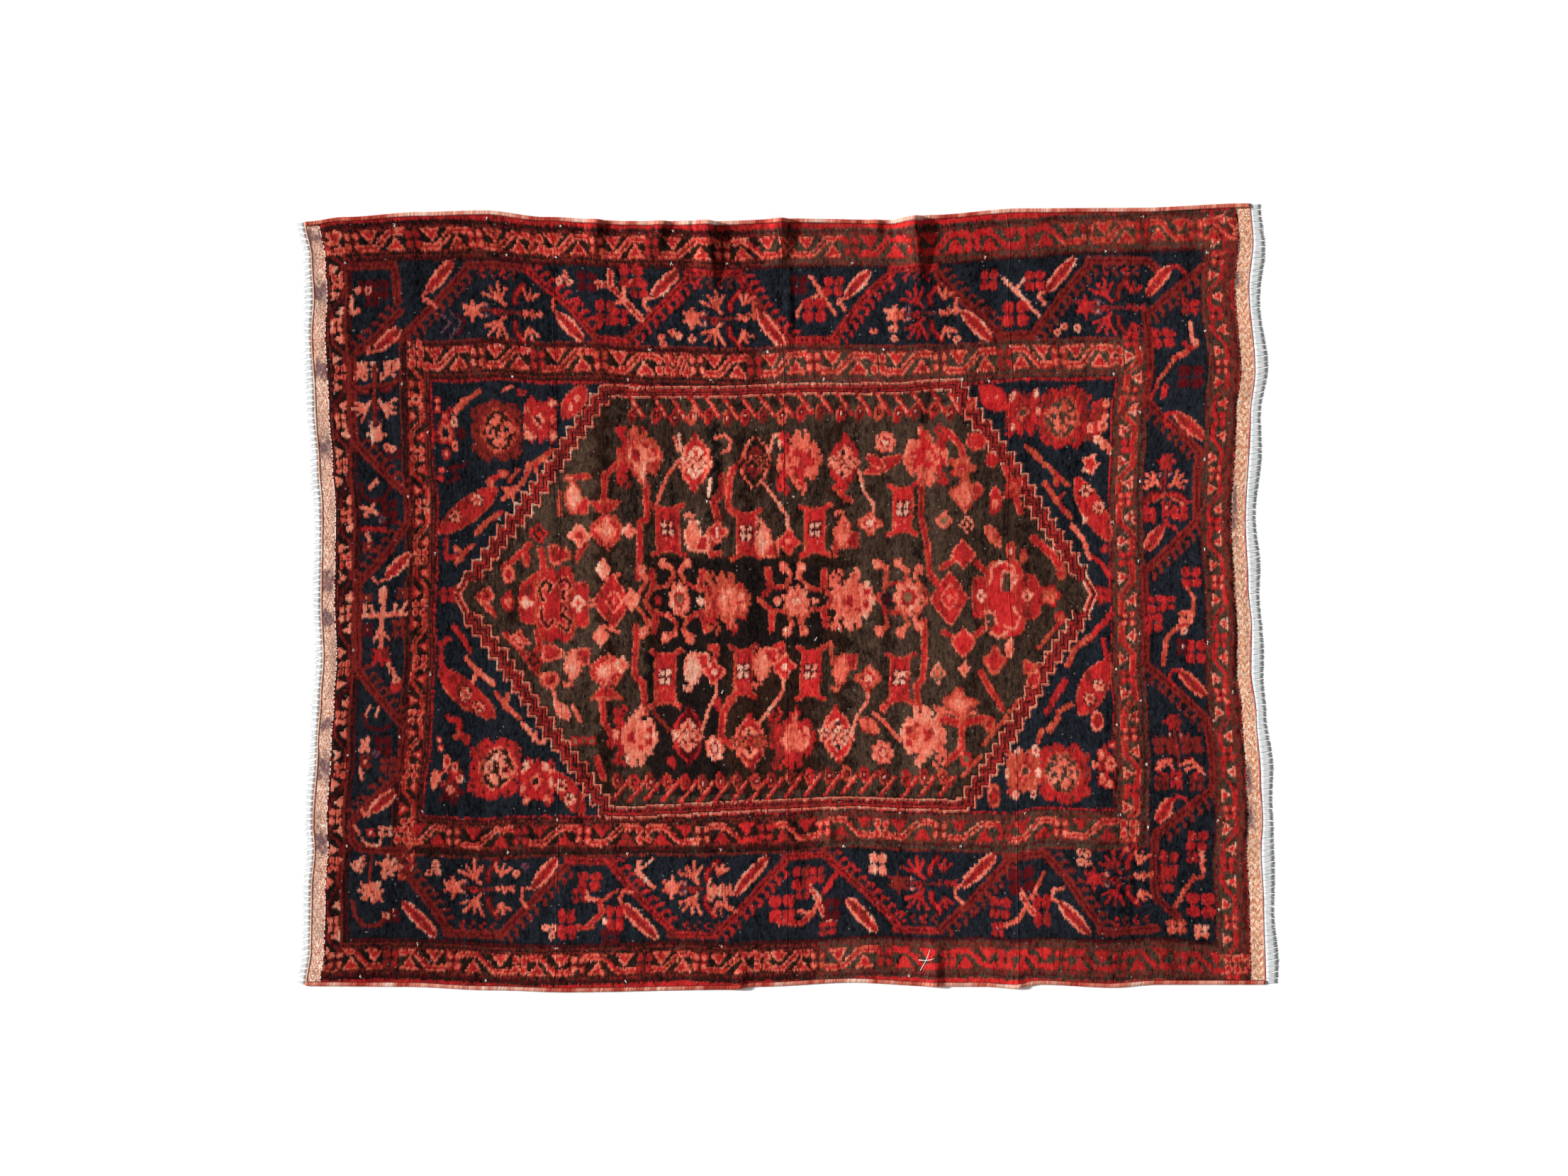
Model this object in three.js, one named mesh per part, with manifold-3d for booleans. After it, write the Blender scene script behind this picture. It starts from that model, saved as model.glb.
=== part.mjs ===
// Hand-knotted rug lying on a floor: one woven cloth with a knotted pile and two flat-woven
// ends, an overcast cord along each side, and a warp fringe on a narrow strip at each end.
// Units are millimetres. +X runs along the warps, +Y across them, +Z is up and the floor is z = 0.

import * as THREE from "three";
import Module from "manifold-3d";

// Driving dimensions of the cloth
const LENGTH = 1850;
const WIDTH = 1528;
const PILE_THICKNESS = 7.5;
const FLAT_END_THICKNESS = 2.8;
const FLAT_END_WIDTH = 26;
const PILE_STEP = 2.5;
const PARTING = 0.3;

// Side cords: their section is flat below and crowned above, as shares of width and height
const SIDE_CORD_WIDTH = 9;
const SIDE_CORD_HEIGHT = 7;
const SIDE_CORD_SECTION = [
  { across: 0, up: 0 },
  { across: 0.92, up: 0 },
  { across: 1, up: 0.4 },
  { across: 0.8, up: 0.86 },
  { across: 0.45, up: 1 },
  { across: 0, up: 0.84 },
];

// Fringe: a narrow strip carries the locks of warp yarn
const STRIP_WIDTH = 3.5;
const STRIP_THICKNESS = 2.6;
const LOCKS_PER_END = 128;
const LOCK_ROOT_WIDTH = 9.4;
const LOCK_ROOT_DEPTH = 2.2;
const LOCK_TOP_SHARE = 0.55;
const LOCK_STATIONS = [
  { along: 0, width: 1, height: 2.3 },
  { along: 0.6, width: 0.86, height: 2.1 },
  { along: 1, width: 0.3, height: 1.1 },
];
const LOCK_LENGTH_SPREAD = 3;
const LOCK_LEAN = 2.4;
const LOCK_LEAN_SPREAD = 0.7;
const LOCK_LEAN_PERIOD = 190;
const LEFT_FRINGE = { onRight: false, length: 19, phase: 2, seed: 1 };
const RIGHT_FRINGE = { onRight: true, length: 27, phase: 0, seed: 5 };

// Spacing of the cloth's rows and stations, and the rows' distances in from each side cord.
// Stations keep clear of their neighbours by the least gaps, or are left out.
const ROW_SPACING = 66;
const STATION_SPACING = 62;
const LEAST_STATION_GAP = 7;
const LEAST_FOLD_GAP = 1.5;
const EDGE_ROWS = [0, 13, 28, 45, 64, 86, 112, 142];

// The uneven outline: how far each edge lies outside the nominal rectangle, at a place along it
const TOP_EDGE = [
  { at: -925, out: -22 },
  { at: -850, out: -13 },
  { at: -700, out: -3 },
  { at: -575, out: 0 },
  { at: -455, out: -13 },
  { at: -290, out: -21 },
  { at: -120, out: -21 },
  { at: 40, out: -16 },
  { at: 215, out: -19 },
  { at: 300, out: -9 },
  { at: 480, out: 4 },
  { at: 700, out: 5 },
  { at: 925, out: 14 },
];
const BOTTOM_EDGE = [
  { at: -925, out: 4 },
  { at: -740, out: 5 },
  { at: -575, out: 12 },
  { at: -430, out: 16 },
  { at: -110, out: 11 },
  { at: -55, out: 5 },
  { at: 125, out: -3 },
  { at: 300, out: 5 },
  { at: 380, out: 5 },
  { at: 440, out: 9 },
  { at: 492, out: 1 },
  { at: 630, out: 7 },
  { at: 716, out: 1 },
  { at: 925, out: 1 },
];
const LEFT_EDGE = [
  { at: -764, out: 20 },
  { at: -690, out: 11 },
  { at: -570, out: 9 },
  { at: -490, out: 3 },
  { at: -445, out: 6 },
  { at: -280, out: -3 },
  { at: -190, out: -9 },
  { at: -108, out: -14 },
  { at: 0, out: -10 },
  { at: 185, out: -12 },
  { at: 270, out: -6 },
  { at: 395, out: 2 },
  { at: 540, out: 9 },
  { at: 610, out: 5 },
  { at: 690, out: 9 },
  { at: 764, out: 22 },
];
const RIGHT_EDGE = [
  { at: -764, out: 19 },
  { at: -610, out: 15 },
  { at: -500, out: 10 },
  { at: -445, out: 13 },
  { at: -360, out: 9 },
  { at: -235, out: 0 },
  { at: -150, out: -10 },
  { at: -66, out: -9 },
  { at: 20, out: -16 },
  { at: 140, out: -21 },
  { at: 350, out: -11 },
  { at: 437, out: -2 },
  { at: 600, out: -14 },
  { at: 690, out: -6 },
  { at: 764, out: -11 },
];

// Folds and swells of the cloth. Each crest runs from (x, from) to (x + drift, to) and dies out
// at from; it stays raised at to where it is open, and dies out there too where it isn't.
const FOLDS = [
  { x: -372, from: 655, to: 748, drift: 4, open: true, height: 11, left: 26, right: 22 },
  { x: -248, from: 668, to: 743, drift: 8, open: true, height: 9, left: 24, right: 20 },
  { x: -192, from: 690, to: 743, drift: 0, open: true, height: 5, left: 18, right: 16 },
  { x: -120, from: 560, to: 743, drift: -16, open: true, height: 14, left: 30, right: 24 },
  { x: 0, from: 640, to: 746, drift: 2, open: true, height: 13, left: 28, right: 22 },
  { x: 8, from: 440, to: 690, drift: -2, open: false, height: 4, left: 16, right: 12 },
  { x: 182, from: 705, to: 747, drift: 0, open: true, height: 6, left: 18, right: 16 },
  { x: 290, from: 570, to: 752, drift: -20, open: true, height: 18, left: 34, right: 26 },
  { x: -292, from: 311, to: 493, drift: -98, open: false, height: 3, left: 22, right: 18 },
  { x: -144, from: 165, to: 340, drift: 6, open: false, height: 6, left: 24, right: 18 },
  { x: 290, from: 150, to: 250, drift: 4, open: false, height: 4, left: 20, right: 16 },
  { x: -292, from: -330, to: 340, drift: 8, open: false, height: 5, left: 70, right: 52 },
  { x: 88, from: -510, to: -415, drift: -4, open: false, height: 6, left: 22, right: 16 },
  { x: -80, from: -680, to: -770, drift: -12, open: true, height: 8, left: 24, right: 18 },
  { x: 300, from: -600, to: -769, drift: -6, open: true, height: 10, left: 26, right: 20 },
  { x: 455, from: -700, to: -773, drift: 4, open: true, height: 6, left: 24, right: 20 },
];
const FOLD_STATIONS = [-1, -0.62, -0.3, 0, 0.3, 0.62, 1];

// Colours of the yarns
const CLOTH_COLOUR = "#6e211b";
const SIDE_CORD_COLOUR = "#b45a44";
const FRINGE_COLOUR = "#e3e6e8";
const WOOL_ROUGHNESS = 0.95;

const wasm = await Module();
wasm.setup();

// Offset of an edge at a place, eased from one row of its table to the next
function edgeOffset(table, at) {
  const next = table.findIndex((row) => row.at >= at);
  if (next === 0) {
    return table[0].out;
  }
  if (next < 0) {
    return table[table.length - 1].out;
  }
  const before = table[next - 1];
  const after = table[next];
  const share = (at - before.at) / (after.at - before.at);
  return before.out + (after.out - before.out) * share * share * (3 - 2 * share);
}

// Place on the floor of woven point (u, v): u from the left edge, v from the bottom edge
function leftX(v) {
  return -LENGTH / 2 - edgeOffset(LEFT_EDGE, v - WIDTH / 2);
}

function rightX(v) {
  return LENGTH / 2 + edgeOffset(RIGHT_EDGE, v - WIDTH / 2);
}

function weave(u, v) {
  const left = leftX(v);
  const bottom = -WIDTH / 2 - edgeOffset(BOTTOM_EDGE, u - LENGTH / 2);
  const top = WIDTH / 2 + edgeOffset(TOP_EDGE, u - LENGTH / 2);
  return {
    x: left + ((rightX(v) - left) * u) / LENGTH,
    y: bottom + ((top - bottom) * v) / WIDTH,
  };
}

// Share of a fold's length that is passed at y, from 0 where it dies out to 1 at its other end
function foldShare(fold, y) {
  return (y - fold.from) / (fold.to - fold.from);
}

// Height of one fold over the floor: a squared cosine across its crest and along it
function foldHeight(fold, x, y) {
  const share = foldShare(fold, y);
  if (share <= 0 || (share >= 1 && !fold.open)) {
    return 0;
  }
  const across = x - fold.x - fold.drift * share;
  const reach = across < 0 ? fold.left : fold.right;
  if (Math.abs(across) >= reach) {
    return 0;
  }
  const rise = Math.sin(Math.PI * Math.min(share, 1) * (fold.open ? 0.5 : 1)) ** 2;
  return fold.height * rise * Math.cos((Math.PI * across) / (2 * reach)) ** 2;
}

function lift(x, y) {
  return FOLDS.reduce((sum, fold) => sum + foldHeight(fold, x, y), 0);
}

// Thickness of the cloth at u: flat-woven at both ends, with the pile's step between
function thickness(u) {
  const inside = Math.min(u, LENGTH - u) - FLAT_END_WIDTH;
  const share = Math.min(Math.max(inside / PILE_STEP, 0), 1);
  return FLAT_END_THICKNESS + (PILE_THICKNESS - FLAT_END_THICKNESS) * share;
}

// Geometry of a closed solid, with its faces turned outwards
function solidGeometry(positions, triangles) {
  const corner = (index) => new THREE.Vector3().fromArray(positions, index * 3);
  let volume = 0;
  for (let i = 0; i < triangles.length; i += 3) {
    const a = corner(triangles[i]);
    const b = corner(triangles[i + 1]);
    const c = corner(triangles[i + 2]);
    volume += a.dot(b.cross(c));
  }
  const index = volume < 0 ? triangles.slice().reverse() : triangles;
  const geometry = new THREE.BufferGeometry();
  geometry.setAttribute("position", new THREE.Float32BufferAttribute(positions, 3));
  geometry.setIndex(index);
  return geometry;
}

// A solid swept through sections that all have the same number of corners
function sweptGeometry(sections) {
  const corners = sections[0].length;
  const positions = sections.flat(2);
  const triangles = [];
  for (let s = 0; s + 1 < sections.length; s += 1) {
    for (let c = 0; c < corners; c += 1) {
      const a = s * corners + c;
      const b = s * corners + ((c + 1) % corners);
      triangles.push(a, b, a + corners, b, b + corners, a + corners);
    }
  }
  const last = (sections.length - 1) * corners;
  for (let c = 1; c + 1 < corners; c += 1) {
    triangles.push(0, c + 1, c);
    triangles.push(last, last + c, last + c + 1);
  }
  return solidGeometry(positions, triangles);
}

// Rows of the cloth, closer together beside the side cords, where the folds are
function clothRows() {
  const edge = SIDE_CORD_WIDTH + PARTING;
  const inner = EDGE_ROWS[EDGE_ROWS.length - 1] + edge;
  const steps = Math.round((WIDTH - 2 * inner) / ROW_SPACING);
  const middle = [];
  for (let i = 1; i < steps; i += 1) {
    middle.push(inner + ((WIDTH - 2 * inner) * i) / steps);
  }
  const lower = EDGE_ROWS.map((distance) => edge + distance);
  const upper = lower.map((v) => WIDTH - v).reverse();
  return [...lower, ...middle, ...upper];
}

// Stations along one row: the ends' steps, the folds that the row crosses, and even steps
function rowStations(v) {
  const step = FLAT_END_WIDTH + PILE_STEP;
  const fixed = [0, FLAT_END_WIDTH, step, LENGTH - step, LENGTH - FLAT_END_WIDTH, LENGTH];
  const left = leftX(v);
  const scale = LENGTH / (rightX(v) - left);
  for (const fold of FOLDS) {
    const y = weave((fold.x - left) * scale, v).y;
    const share = foldShare(fold, y);
    if (share > 0 && (share < 1 || fold.open)) {
      for (const place of FOLD_STATIONS) {
        const reach = place < 0 ? fold.left : fold.right;
        fixed.push((fold.x + fold.drift * share + place * reach - left) * scale);
      }
    }
  }
  const steps = Math.round((LENGTH - 2 * step) / STATION_SPACING);
  for (let i = 1; i < steps; i += 1) {
    const u = step + ((LENGTH - 2 * step) * i) / steps;
    if (fixed.every((other) => Math.abs(other - u) >= LEAST_STATION_GAP)) {
      fixed.push(u);
    }
  }
  const sorted = fixed.sort((a, b) => a - b);
  return sorted.filter((u, i) => i === 0 || u - sorted[i - 1] >= LEAST_FOLD_GAP);
}

// Triangles between two neighbouring rows, whose stations need not match
function zipRows(lower, upper, triangles) {
  let i = 0;
  let j = 0;
  while (i + 1 < lower.stations.length || j + 1 < upper.stations.length) {
    const nextLower = lower.stations[i + 1] ?? Infinity;
    const nextUpper = upper.stations[j + 1] ?? Infinity;
    if (nextLower <= nextUpper) {
      triangles.push([lower.first + i, lower.first + i + 1, upper.first + j]);
      i += 1;
    } else {
      triangles.push([lower.first + i, upper.first + j + 1, upper.first + j]);
      j += 1;
    }
  }
}

// Indices of the cloth's outline, once round
function outlineIndices(rows) {
  const range = (row) => row.stations.map((_, i) => row.first + i);
  const lefts = rows.slice(1, -1).map((row) => row.first);
  const rights = rows.slice(1, -1).map((row) => row.first + row.stations.length - 1);
  const bottom = range(rows[0]);
  const top = range(rows[rows.length - 1]);
  return [...bottom, ...rights, ...top.reverse(), ...lefts.reverse()];
}

// The knotted cloth: an upper and an under face over the same points, and a wall round them
function clothGeometry() {
  const points = [];
  const rows = clothRows().map((v) => {
    const row = { v, first: points.length, stations: rowStations(v) };
    row.stations.forEach((u) => points.push({ u, v }));
    return row;
  });
  const faces = [];
  for (let r = 0; r + 1 < rows.length; r += 1) {
    zipRows(rows[r], rows[r + 1], faces);
  }
  const under = [];
  const upper = [];
  for (const { u, v } of points) {
    const { x, y } = weave(u, v);
    const z = lift(x, y);
    under.push(x, y, z);
    upper.push(x, y, z + thickness(u));
  }
  const shift = points.length;
  const triangles = [];
  for (const [a, b, c] of faces) {
    triangles.push(a + shift, b + shift, c + shift, a, c, b);
  }
  const outline = outlineIndices(rows);
  outline.forEach((a, i) => {
    const b = outline[(i + 1) % outline.length];
    triangles.push(a, b, b + shift, a, b + shift, a + shift);
  });
  return solidGeometry([...under, ...upper], triangles);
}

// An overcast side cord beside the cloth's first or last row, sharing that row's stations
function sideCordGeometry(onTop) {
  const edge = SIDE_CORD_WIDTH + PARTING;
  const sections = rowStations(onTop ? WIDTH - edge : edge).map((u) =>
    SIDE_CORD_SECTION.map(({ across, up }) => {
      const fromEdge = SIDE_CORD_WIDTH * (1 - across);
      const { x, y } = weave(u, onTop ? WIDTH - fromEdge : fromEdge);
      return [x, y, lift(x, y) + SIDE_CORD_HEIGHT * up];
    }),
  );
  return sweptGeometry(sections);
}

// Woven u of a place beyond the cloth's edge at a fringe's end
function outside(end, distance) {
  return end.onRight ? LENGTH + distance : -distance;
}

// The strip that carries the locks, parallel to the cloth's edge
function stripGeometry(end) {
  const places = [0, SIDE_CORD_WIDTH, ...clothRows(), WIDTH - SIDE_CORD_WIDTH, WIDTH];
  const corners = [
    [PARTING, 0],
    [PARTING + STRIP_WIDTH, 0],
    [PARTING + STRIP_WIDTH, STRIP_THICKNESS],
    [PARTING, STRIP_THICKNESS],
  ];
  const sections = places.map((v) =>
    corners.map(([distance, z]) => {
      const { x, y } = weave(outside(end, distance), v);
      return [x, y, z];
    }),
  );
  return sweptGeometry(sections);
}

// A fixed, uneven number from -1 to 1 for each lock
function unevenness(index, seed) {
  const wave = Math.sin(index * 12.9898 + seed * 78.233) * 43758.5453;
  return 2 * (wave - Math.floor(wave)) - 1;
}

// One lock: a flat-bottomed, four-sided taper that leans a little along the edge
function lockGeometry(end, index) {
  const v = (WIDTH / LOCKS_PER_END) * (index + 0.5);
  const length = end.length + LOCK_LENGTH_SPREAD * unevenness(index, end.seed);
  const sway = Math.sin((2 * Math.PI * v) / LOCK_LEAN_PERIOD + end.phase);
  const lean = LOCK_LEAN * sway + LOCK_LEAN_SPREAD * unevenness(index, end.seed + 1);
  const start = PARTING + STRIP_WIDTH - LOCK_ROOT_DEPTH;
  const sections = LOCK_STATIONS.map((station) => {
    const half = (LOCK_ROOT_WIDTH * station.width) / 2;
    const middle = v + lean * station.along ** 2;
    const corners = [
      [-half, 0],
      [half, 0],
      [half * LOCK_TOP_SHARE, station.height],
      [-half * LOCK_TOP_SHARE, station.height],
    ];
    return corners.map(([across, z]) => {
      const { x, y } = weave(outside(end, start + length * station.along), middle + across);
      return [x, y, z];
    });
  });
  return sweptGeometry(sections);
}

// A closed geometry as a solid that can be joined to others, and back
function toSolid(geometry) {
  return new wasm.Manifold(
    new wasm.Mesh({
      numProp: 3,
      vertProperties: new Float32Array(geometry.attributes.position.array),
      triVerts: new Uint32Array(geometry.index.array),
    }),
  );
}

function toGeometry(solid) {
  const mesh = solid.getMesh();
  const geometry = new THREE.BufferGeometry();
  geometry.setAttribute("position", new THREE.Float32BufferAttribute(mesh.vertProperties, 3));
  geometry.setIndex(Array.from(mesh.triVerts));
  return geometry;
}

// A fringe: its strip with every lock's root joined into it
function fringeGeometry(end) {
  let fringe = toSolid(stripGeometry(end));
  for (let index = 0; index < LOCKS_PER_END; index += 1) {
    fringe = fringe.add(toSolid(lockGeometry(end, index)));
  }
  return toGeometry(fringe);
}

function piece(name, geometry, colour) {
  const material = new THREE.MeshStandardMaterial({
    color: colour,
    roughness: WOOL_ROUGHNESS,
    metalness: 0,
  });
  const mesh = new THREE.Mesh(geometry, material);
  mesh.name = name;
  return mesh;
}

const rug = new THREE.Group();
rug.add(
  piece("rug", clothGeometry(), CLOTH_COLOUR),
  piece("selvedge_top", sideCordGeometry(true), SIDE_CORD_COLOUR),
  piece("selvedge_bottom", sideCordGeometry(false), SIDE_CORD_COLOUR),
  piece("fringe_left", fringeGeometry(LEFT_FRINGE), FRINGE_COLOUR),
  piece("fringe_right", fringeGeometry(RIGHT_FRINGE), FRINGE_COLOUR),
);

export default rug;
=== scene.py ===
"""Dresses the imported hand-knotted rug: pile, flat-woven ends, side cords, fringes, light and camera."""

import logging
import math
from collections.abc import Callable, Iterable, Sequence
from dataclasses import dataclass
from enum import Enum, IntEnum

import bpy
import numpy as np
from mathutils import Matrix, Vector


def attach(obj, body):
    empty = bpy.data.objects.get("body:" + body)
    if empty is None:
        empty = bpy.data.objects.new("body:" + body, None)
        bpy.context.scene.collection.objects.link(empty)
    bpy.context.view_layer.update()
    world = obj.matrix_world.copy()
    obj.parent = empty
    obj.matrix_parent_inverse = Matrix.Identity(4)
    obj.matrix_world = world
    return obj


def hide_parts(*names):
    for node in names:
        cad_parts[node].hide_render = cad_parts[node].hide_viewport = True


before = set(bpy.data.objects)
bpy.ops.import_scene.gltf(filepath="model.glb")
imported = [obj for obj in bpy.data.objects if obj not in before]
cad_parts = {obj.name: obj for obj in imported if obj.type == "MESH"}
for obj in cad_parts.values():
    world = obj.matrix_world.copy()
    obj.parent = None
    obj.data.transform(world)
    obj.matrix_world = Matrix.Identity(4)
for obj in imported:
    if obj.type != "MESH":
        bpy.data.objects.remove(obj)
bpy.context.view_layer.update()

LOG = logging.getLogger("rug")
MM = 0.001

Point = tuple[float, float]
Curve = tuple[Point, ...]

# Knots along the rug and across it.
COLUMNS = 620
ROWS = 540
# The photo's scale in mm a pixel, and its pixel at the middle of the rug.
PHOTO_PIXEL = 1.4
PHOTO_MIDDLE = (1108.5, 842.5)
# The four quarters round a middle.
QUARTERS = ((-1, -1), (-1, 1), (1, -1), (1, 1))


# The pattern, knot by knot.


class Wool(IntEnum):
    """The dyed wools of the pile, by the number that the chart holds for them."""

    BLACK = 0
    NAVY = 1
    FIELD = 2
    BROWN = 3
    GUARD = 4
    WINE = 5
    RED = 6
    BRIGHT = 7
    RUST = 8
    ORANGE = 9
    SALMON = 10
    CORAL = 11
    CREAM = 12
    MAUVE = 13
    TAN = 14
    OLIVE = 15


def entries(text: str) -> Iterable[tuple[list[Wool], list[tuple[float, ...]]]]:
    """Yields a list's entries, parted by semicolons: the wools named and the groups of numbers, in order.

    An entry that names no wools takes those of the entry before it.
    """
    wools: list[Wool] = []
    for entry in text.split(";"):
        words = entry.split()
        wools = [Wool[word.upper()] for word in words if word[0].isalpha()] or wools
        yield wools, [tuple(map(float, word.split(","))) for word in words if not word[0].isalpha()]


class Chart:
    """The pattern as one wool for each knot. Column i runs from the left end, row j from the far side.

    Shapes are tested at knot places that are moved a little at random and along slow waves, so
    their outlines come out as uneven as woven ones.
    """

    def __init__(self, i: np.ndarray, j: np.ndarray, wool: np.ndarray) -> None:
        """Keeps the knots' places and their wools.

        Args:
            i: Place along the chart of each knot.
            j: Place across it.
            wool: Wool number of each knot, changed in place.
        """
        self.i = i
        self.j = j
        self.wool = wool

    @classmethod
    def blank(cls, columns: int, rows: int, seed: int) -> "Chart":
        """Returns an empty chart whose knot places are uneven.

        Args:
            columns: Knots along the rug.
            rows: Knots across it.
            seed: Start of the random numbers.
        """
        rng = np.random.default_rng(seed)
        i, j = np.meshgrid(np.arange(columns) + 0.5, np.arange(rows) + 0.5)
        wave_i = 0.7 * np.sin(j / 23 + 1.3 * np.sin(i / 61)) + 0.4 * np.sin(j / 9 + i / 47)
        wave_j = 0.8 * np.sin(i / 27 + 1.1 * np.sin(j / 53)) + 0.4 * np.sin(i / 11 - j / 39)
        i = i + wave_i + rng.uniform(-0.38, 0.38, i.shape)
        j = j + wave_j + rng.uniform(-0.62, 0.62, j.shape)
        return cls(i, j, np.full(i.shape, Wool.FIELD, np.uint8))

    def turned(self) -> "Chart":
        """Returns the same knots with rows and columns exchanged, for work along the rug's ends."""
        return Chart(self.j.T, self.i.T, self.wool.T)

    def shifted(self, curve: Curve) -> "Chart":
        """Returns the same knots with places across measured from a curve that runs along the chart."""
        along, out = np.array(curve, float).T
        return Chart(self.i, self.j - np.interp(self.i, along, out), self.wool)

    def window(self, low: np.ndarray, high: np.ndarray) -> tuple[slice, slice]:
        """Returns the slices of rows and columns that hold the box between two corners, (i, j) each."""
        rows, columns = self.wool.shape
        i0, j0 = np.maximum(np.floor(np.asarray(low) - 16).astype(int), 0)
        i1, j1 = np.maximum(np.ceil(np.asarray(high) + 16).astype(int), 0)
        return slice(j0, min(j1, rows)), slice(i0, min(i1, columns))

    def flipped(self, axis: float) -> "Chart":
        """Returns the same knots mirrored across a row near the middle of the chart."""
        return Chart(self.i[::-1], 2 * axis - self.j[::-1], self.wool[::-1])

    def recolour(self, old: Wool, new: Wool, i0: float, i1: float, j0: float = 0, j1: float = ROWS) -> None:
        """Changes one wool for another between two columns and two rows, as where a batch ran out, and in the
        field also to paint the shadow beside a fold's crease.
        """
        i, j = self.i + 3 * np.sin(self.j / 2.3), self.j
        self.wool[(self.wool == old) & (i > i0) & (i < i1) & (j > j0) & (j < j1)] = new

    def stroke(self, wool: Wool, width: float, *points: Point, edge: Wool | None = None) -> None:
        """Draws a line of even width: the knots whose distance from the nearest segment is under half of it.

        Args:
            wool: Wool of the line.
            width: Its width in knots.
            *points: Its corners.
            edge: Wool of a one-knot outline, or None.
        """
        path = np.array(points, float)
        box = self.window(path.min(0), path.max(0))
        i, j = self.i[box], self.j[box]
        distance = np.full(i.shape, np.inf)
        for start, end in zip(path[:-1], path[1:]):
            step = end - start
            share = ((i - start[0]) * step[0] + (j - start[1]) * step[1]) / max(step @ step, 1e-9)
            share = np.clip(share, 0, 1)
            di, dj = i - start[0] - share * step[0], j - start[1] - share * step[1]
            distance = np.minimum(distance, np.hypot(di, dj))
        if edge is not None:
            self.wool[box][distance < width / 2 + 1] = edge
        self.wool[box][distance < width / 2] = wool

    def oval(
        self,
        wool: Wool,
        i: float,
        j: float,
        ri: float,
        rj: float,
        power: float = 2.0,
        lobes: int = 0,
        edge: Wool | None = None,
    ) -> None:
        """Draws an oval: |x/ri|^power + |y/rj|^power under 1, its radius waved by the lobes.

        Args:
            wool: Wool inside.
            i: Middle along the chart.
            j: Middle across it.
            ri: Half its size along.
            rj: Half its size across.
            power: 1 gives a diamond, 2 an ellipse, 4 a rounded box.
            lobes: Number of lobes round it, 0 for none.
            edge: Wool of a one-knot outline, or None.
        """
        box = self.window(np.array([i - ri, j - rj]), np.array([i + ri, j + rj]))
        p = (self.i[box] - i) / ri
        q = (self.j[box] - j) / rj
        radius = (np.abs(p) ** power + np.abs(q) ** power) ** (1 / power)
        if lobes:
            turn = np.arctan2(q, p)
            deep = 0.2 if lobes < 6 else 0.11
            radius = radius / (1 + deep * np.cos(lobes * turn) + 0.06 * np.cos((2 * lobes - 3) * turn + i))
        if edge is not None:
            self.wool[box][radius < 1 + 1.1 / min(ri, rj)] = edge
        self.wool[box][radius < 1] = wool

    def leaf(
        self, wool: Wool, width: float, start: Point, end: Point, edge: Wool | None = None, full: float = 0.5
    ) -> None:
        """Draws a leaf between two tips: half-width (width / 2) sin(pi s)^full at share s of its length.

        Args:
            wool: Wool of the blade.
            width: Its greatest width in knots.
            start: One tip.
            end: The other tip.
            edge: Wool of a one-knot outline, or None.
            full: Small for a blunt leaf, 1 for a slender one.
        """
        tips = np.array([start, end], float)
        box = self.window(tips.min(0) - width / 2, tips.max(0) + width / 2)
        axis = tips[1] - tips[0]
        length = math.hypot(*axis)
        di, dj = self.i[box] - start[0], self.j[box] - start[1]
        share = np.clip((di * axis[0] + dj * axis[1]) / length**2, 0, 1)
        across = np.hypot(di - share * axis[0], dj - share * axis[1])
        half = width / 2 * np.sin(np.pi * share) ** full
        if edge is not None:
            self.wool[box][across < half + 1] = edge
        self.wool[box][across < half] = wool

    def triangle(
        self, wool: Wool, middle: float, base: float, half: float, height: float, edge: Wool
    ) -> None:
        """Draws an outlined triangle on a base line across the chart.

        Args:
            wool: Wool inside.
            middle: Place of its tip along the chart.
            base: Place of its base across it.
            half: Half its base.
            height: Its height, negative where it points to lower rows.
            edge: Wool of the one-knot outline.
        """
        foot, size = np.array([middle, base]), np.array([half, abs(height)])
        box = self.window(foot - size, foot + size)
        rise = (self.j[box] - base) / height
        reach = np.abs(self.i[box] - middle) / half
        self.wool[box][(rise > 0) & (reach + rise < 1)] = edge
        self.wool[box][(rise > 1.1 / abs(height)) & (reach + rise < 0.76)] = wool

    def flower(self, wool: Wool, i: float, j: float, ri: float, rj: float, heart: Wool) -> None:
        """Draws a four-petalled flower: an oval at each quarter, with a heart in the middle."""
        for side_i, side_j in QUARTERS:
            self.oval(wool, i + side_i * ri * 0.52, j + side_j * rj * 0.52, ri * 0.46, rj * 0.46, 2.6)
        self.oval(heart, i, j, max(ri * 0.2, 1), max(rj * 0.2, 1))

    def mix(self, rng: np.random.Generator) -> None:
        """Works a second batch into some wools in short runs, then swaps a few knots with their neighbours.

        Args:
            rng: Random numbers.
        """
        batch = waves(self.wool.shape, (9, 3), rng) + 0.5 * waves(self.wool.shape, (26, 7), rng)
        batch = batch + 0.5 * waves(self.wool.shape, (4, 1), rng)
        drawn = self.wool.copy()
        for old, low, high in (
            (Wool.RED, Wool.RUST, Wool.BRIGHT),
            (Wool.SALMON, Wool.ORANGE, Wool.CORAL),
            (Wool.CORAL, Wool.SALMON, Wool.CREAM),
            (Wool.CREAM, Wool.CORAL, Wool.CREAM),
            (Wool.ORANGE, Wool.RED, Wool.SALMON),
            (Wool.FIELD, Wool.BROWN, Wool.OLIVE),
            (Wool.GUARD, Wool.BROWN, Wool.FIELD),
        ):
            self.wool[(drawn == old) & (batch < -0.62)] = low
            self.wool[(drawn == old) & (batch > 0.68)] = high
        for axis, share in ((0, 0.11), (1, 0.05)):
            beside = np.roll(self.wool, 1, axis)
            moved = rng.random(self.wool.shape) < share
            self.wool[moved] = beside[moved]

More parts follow.
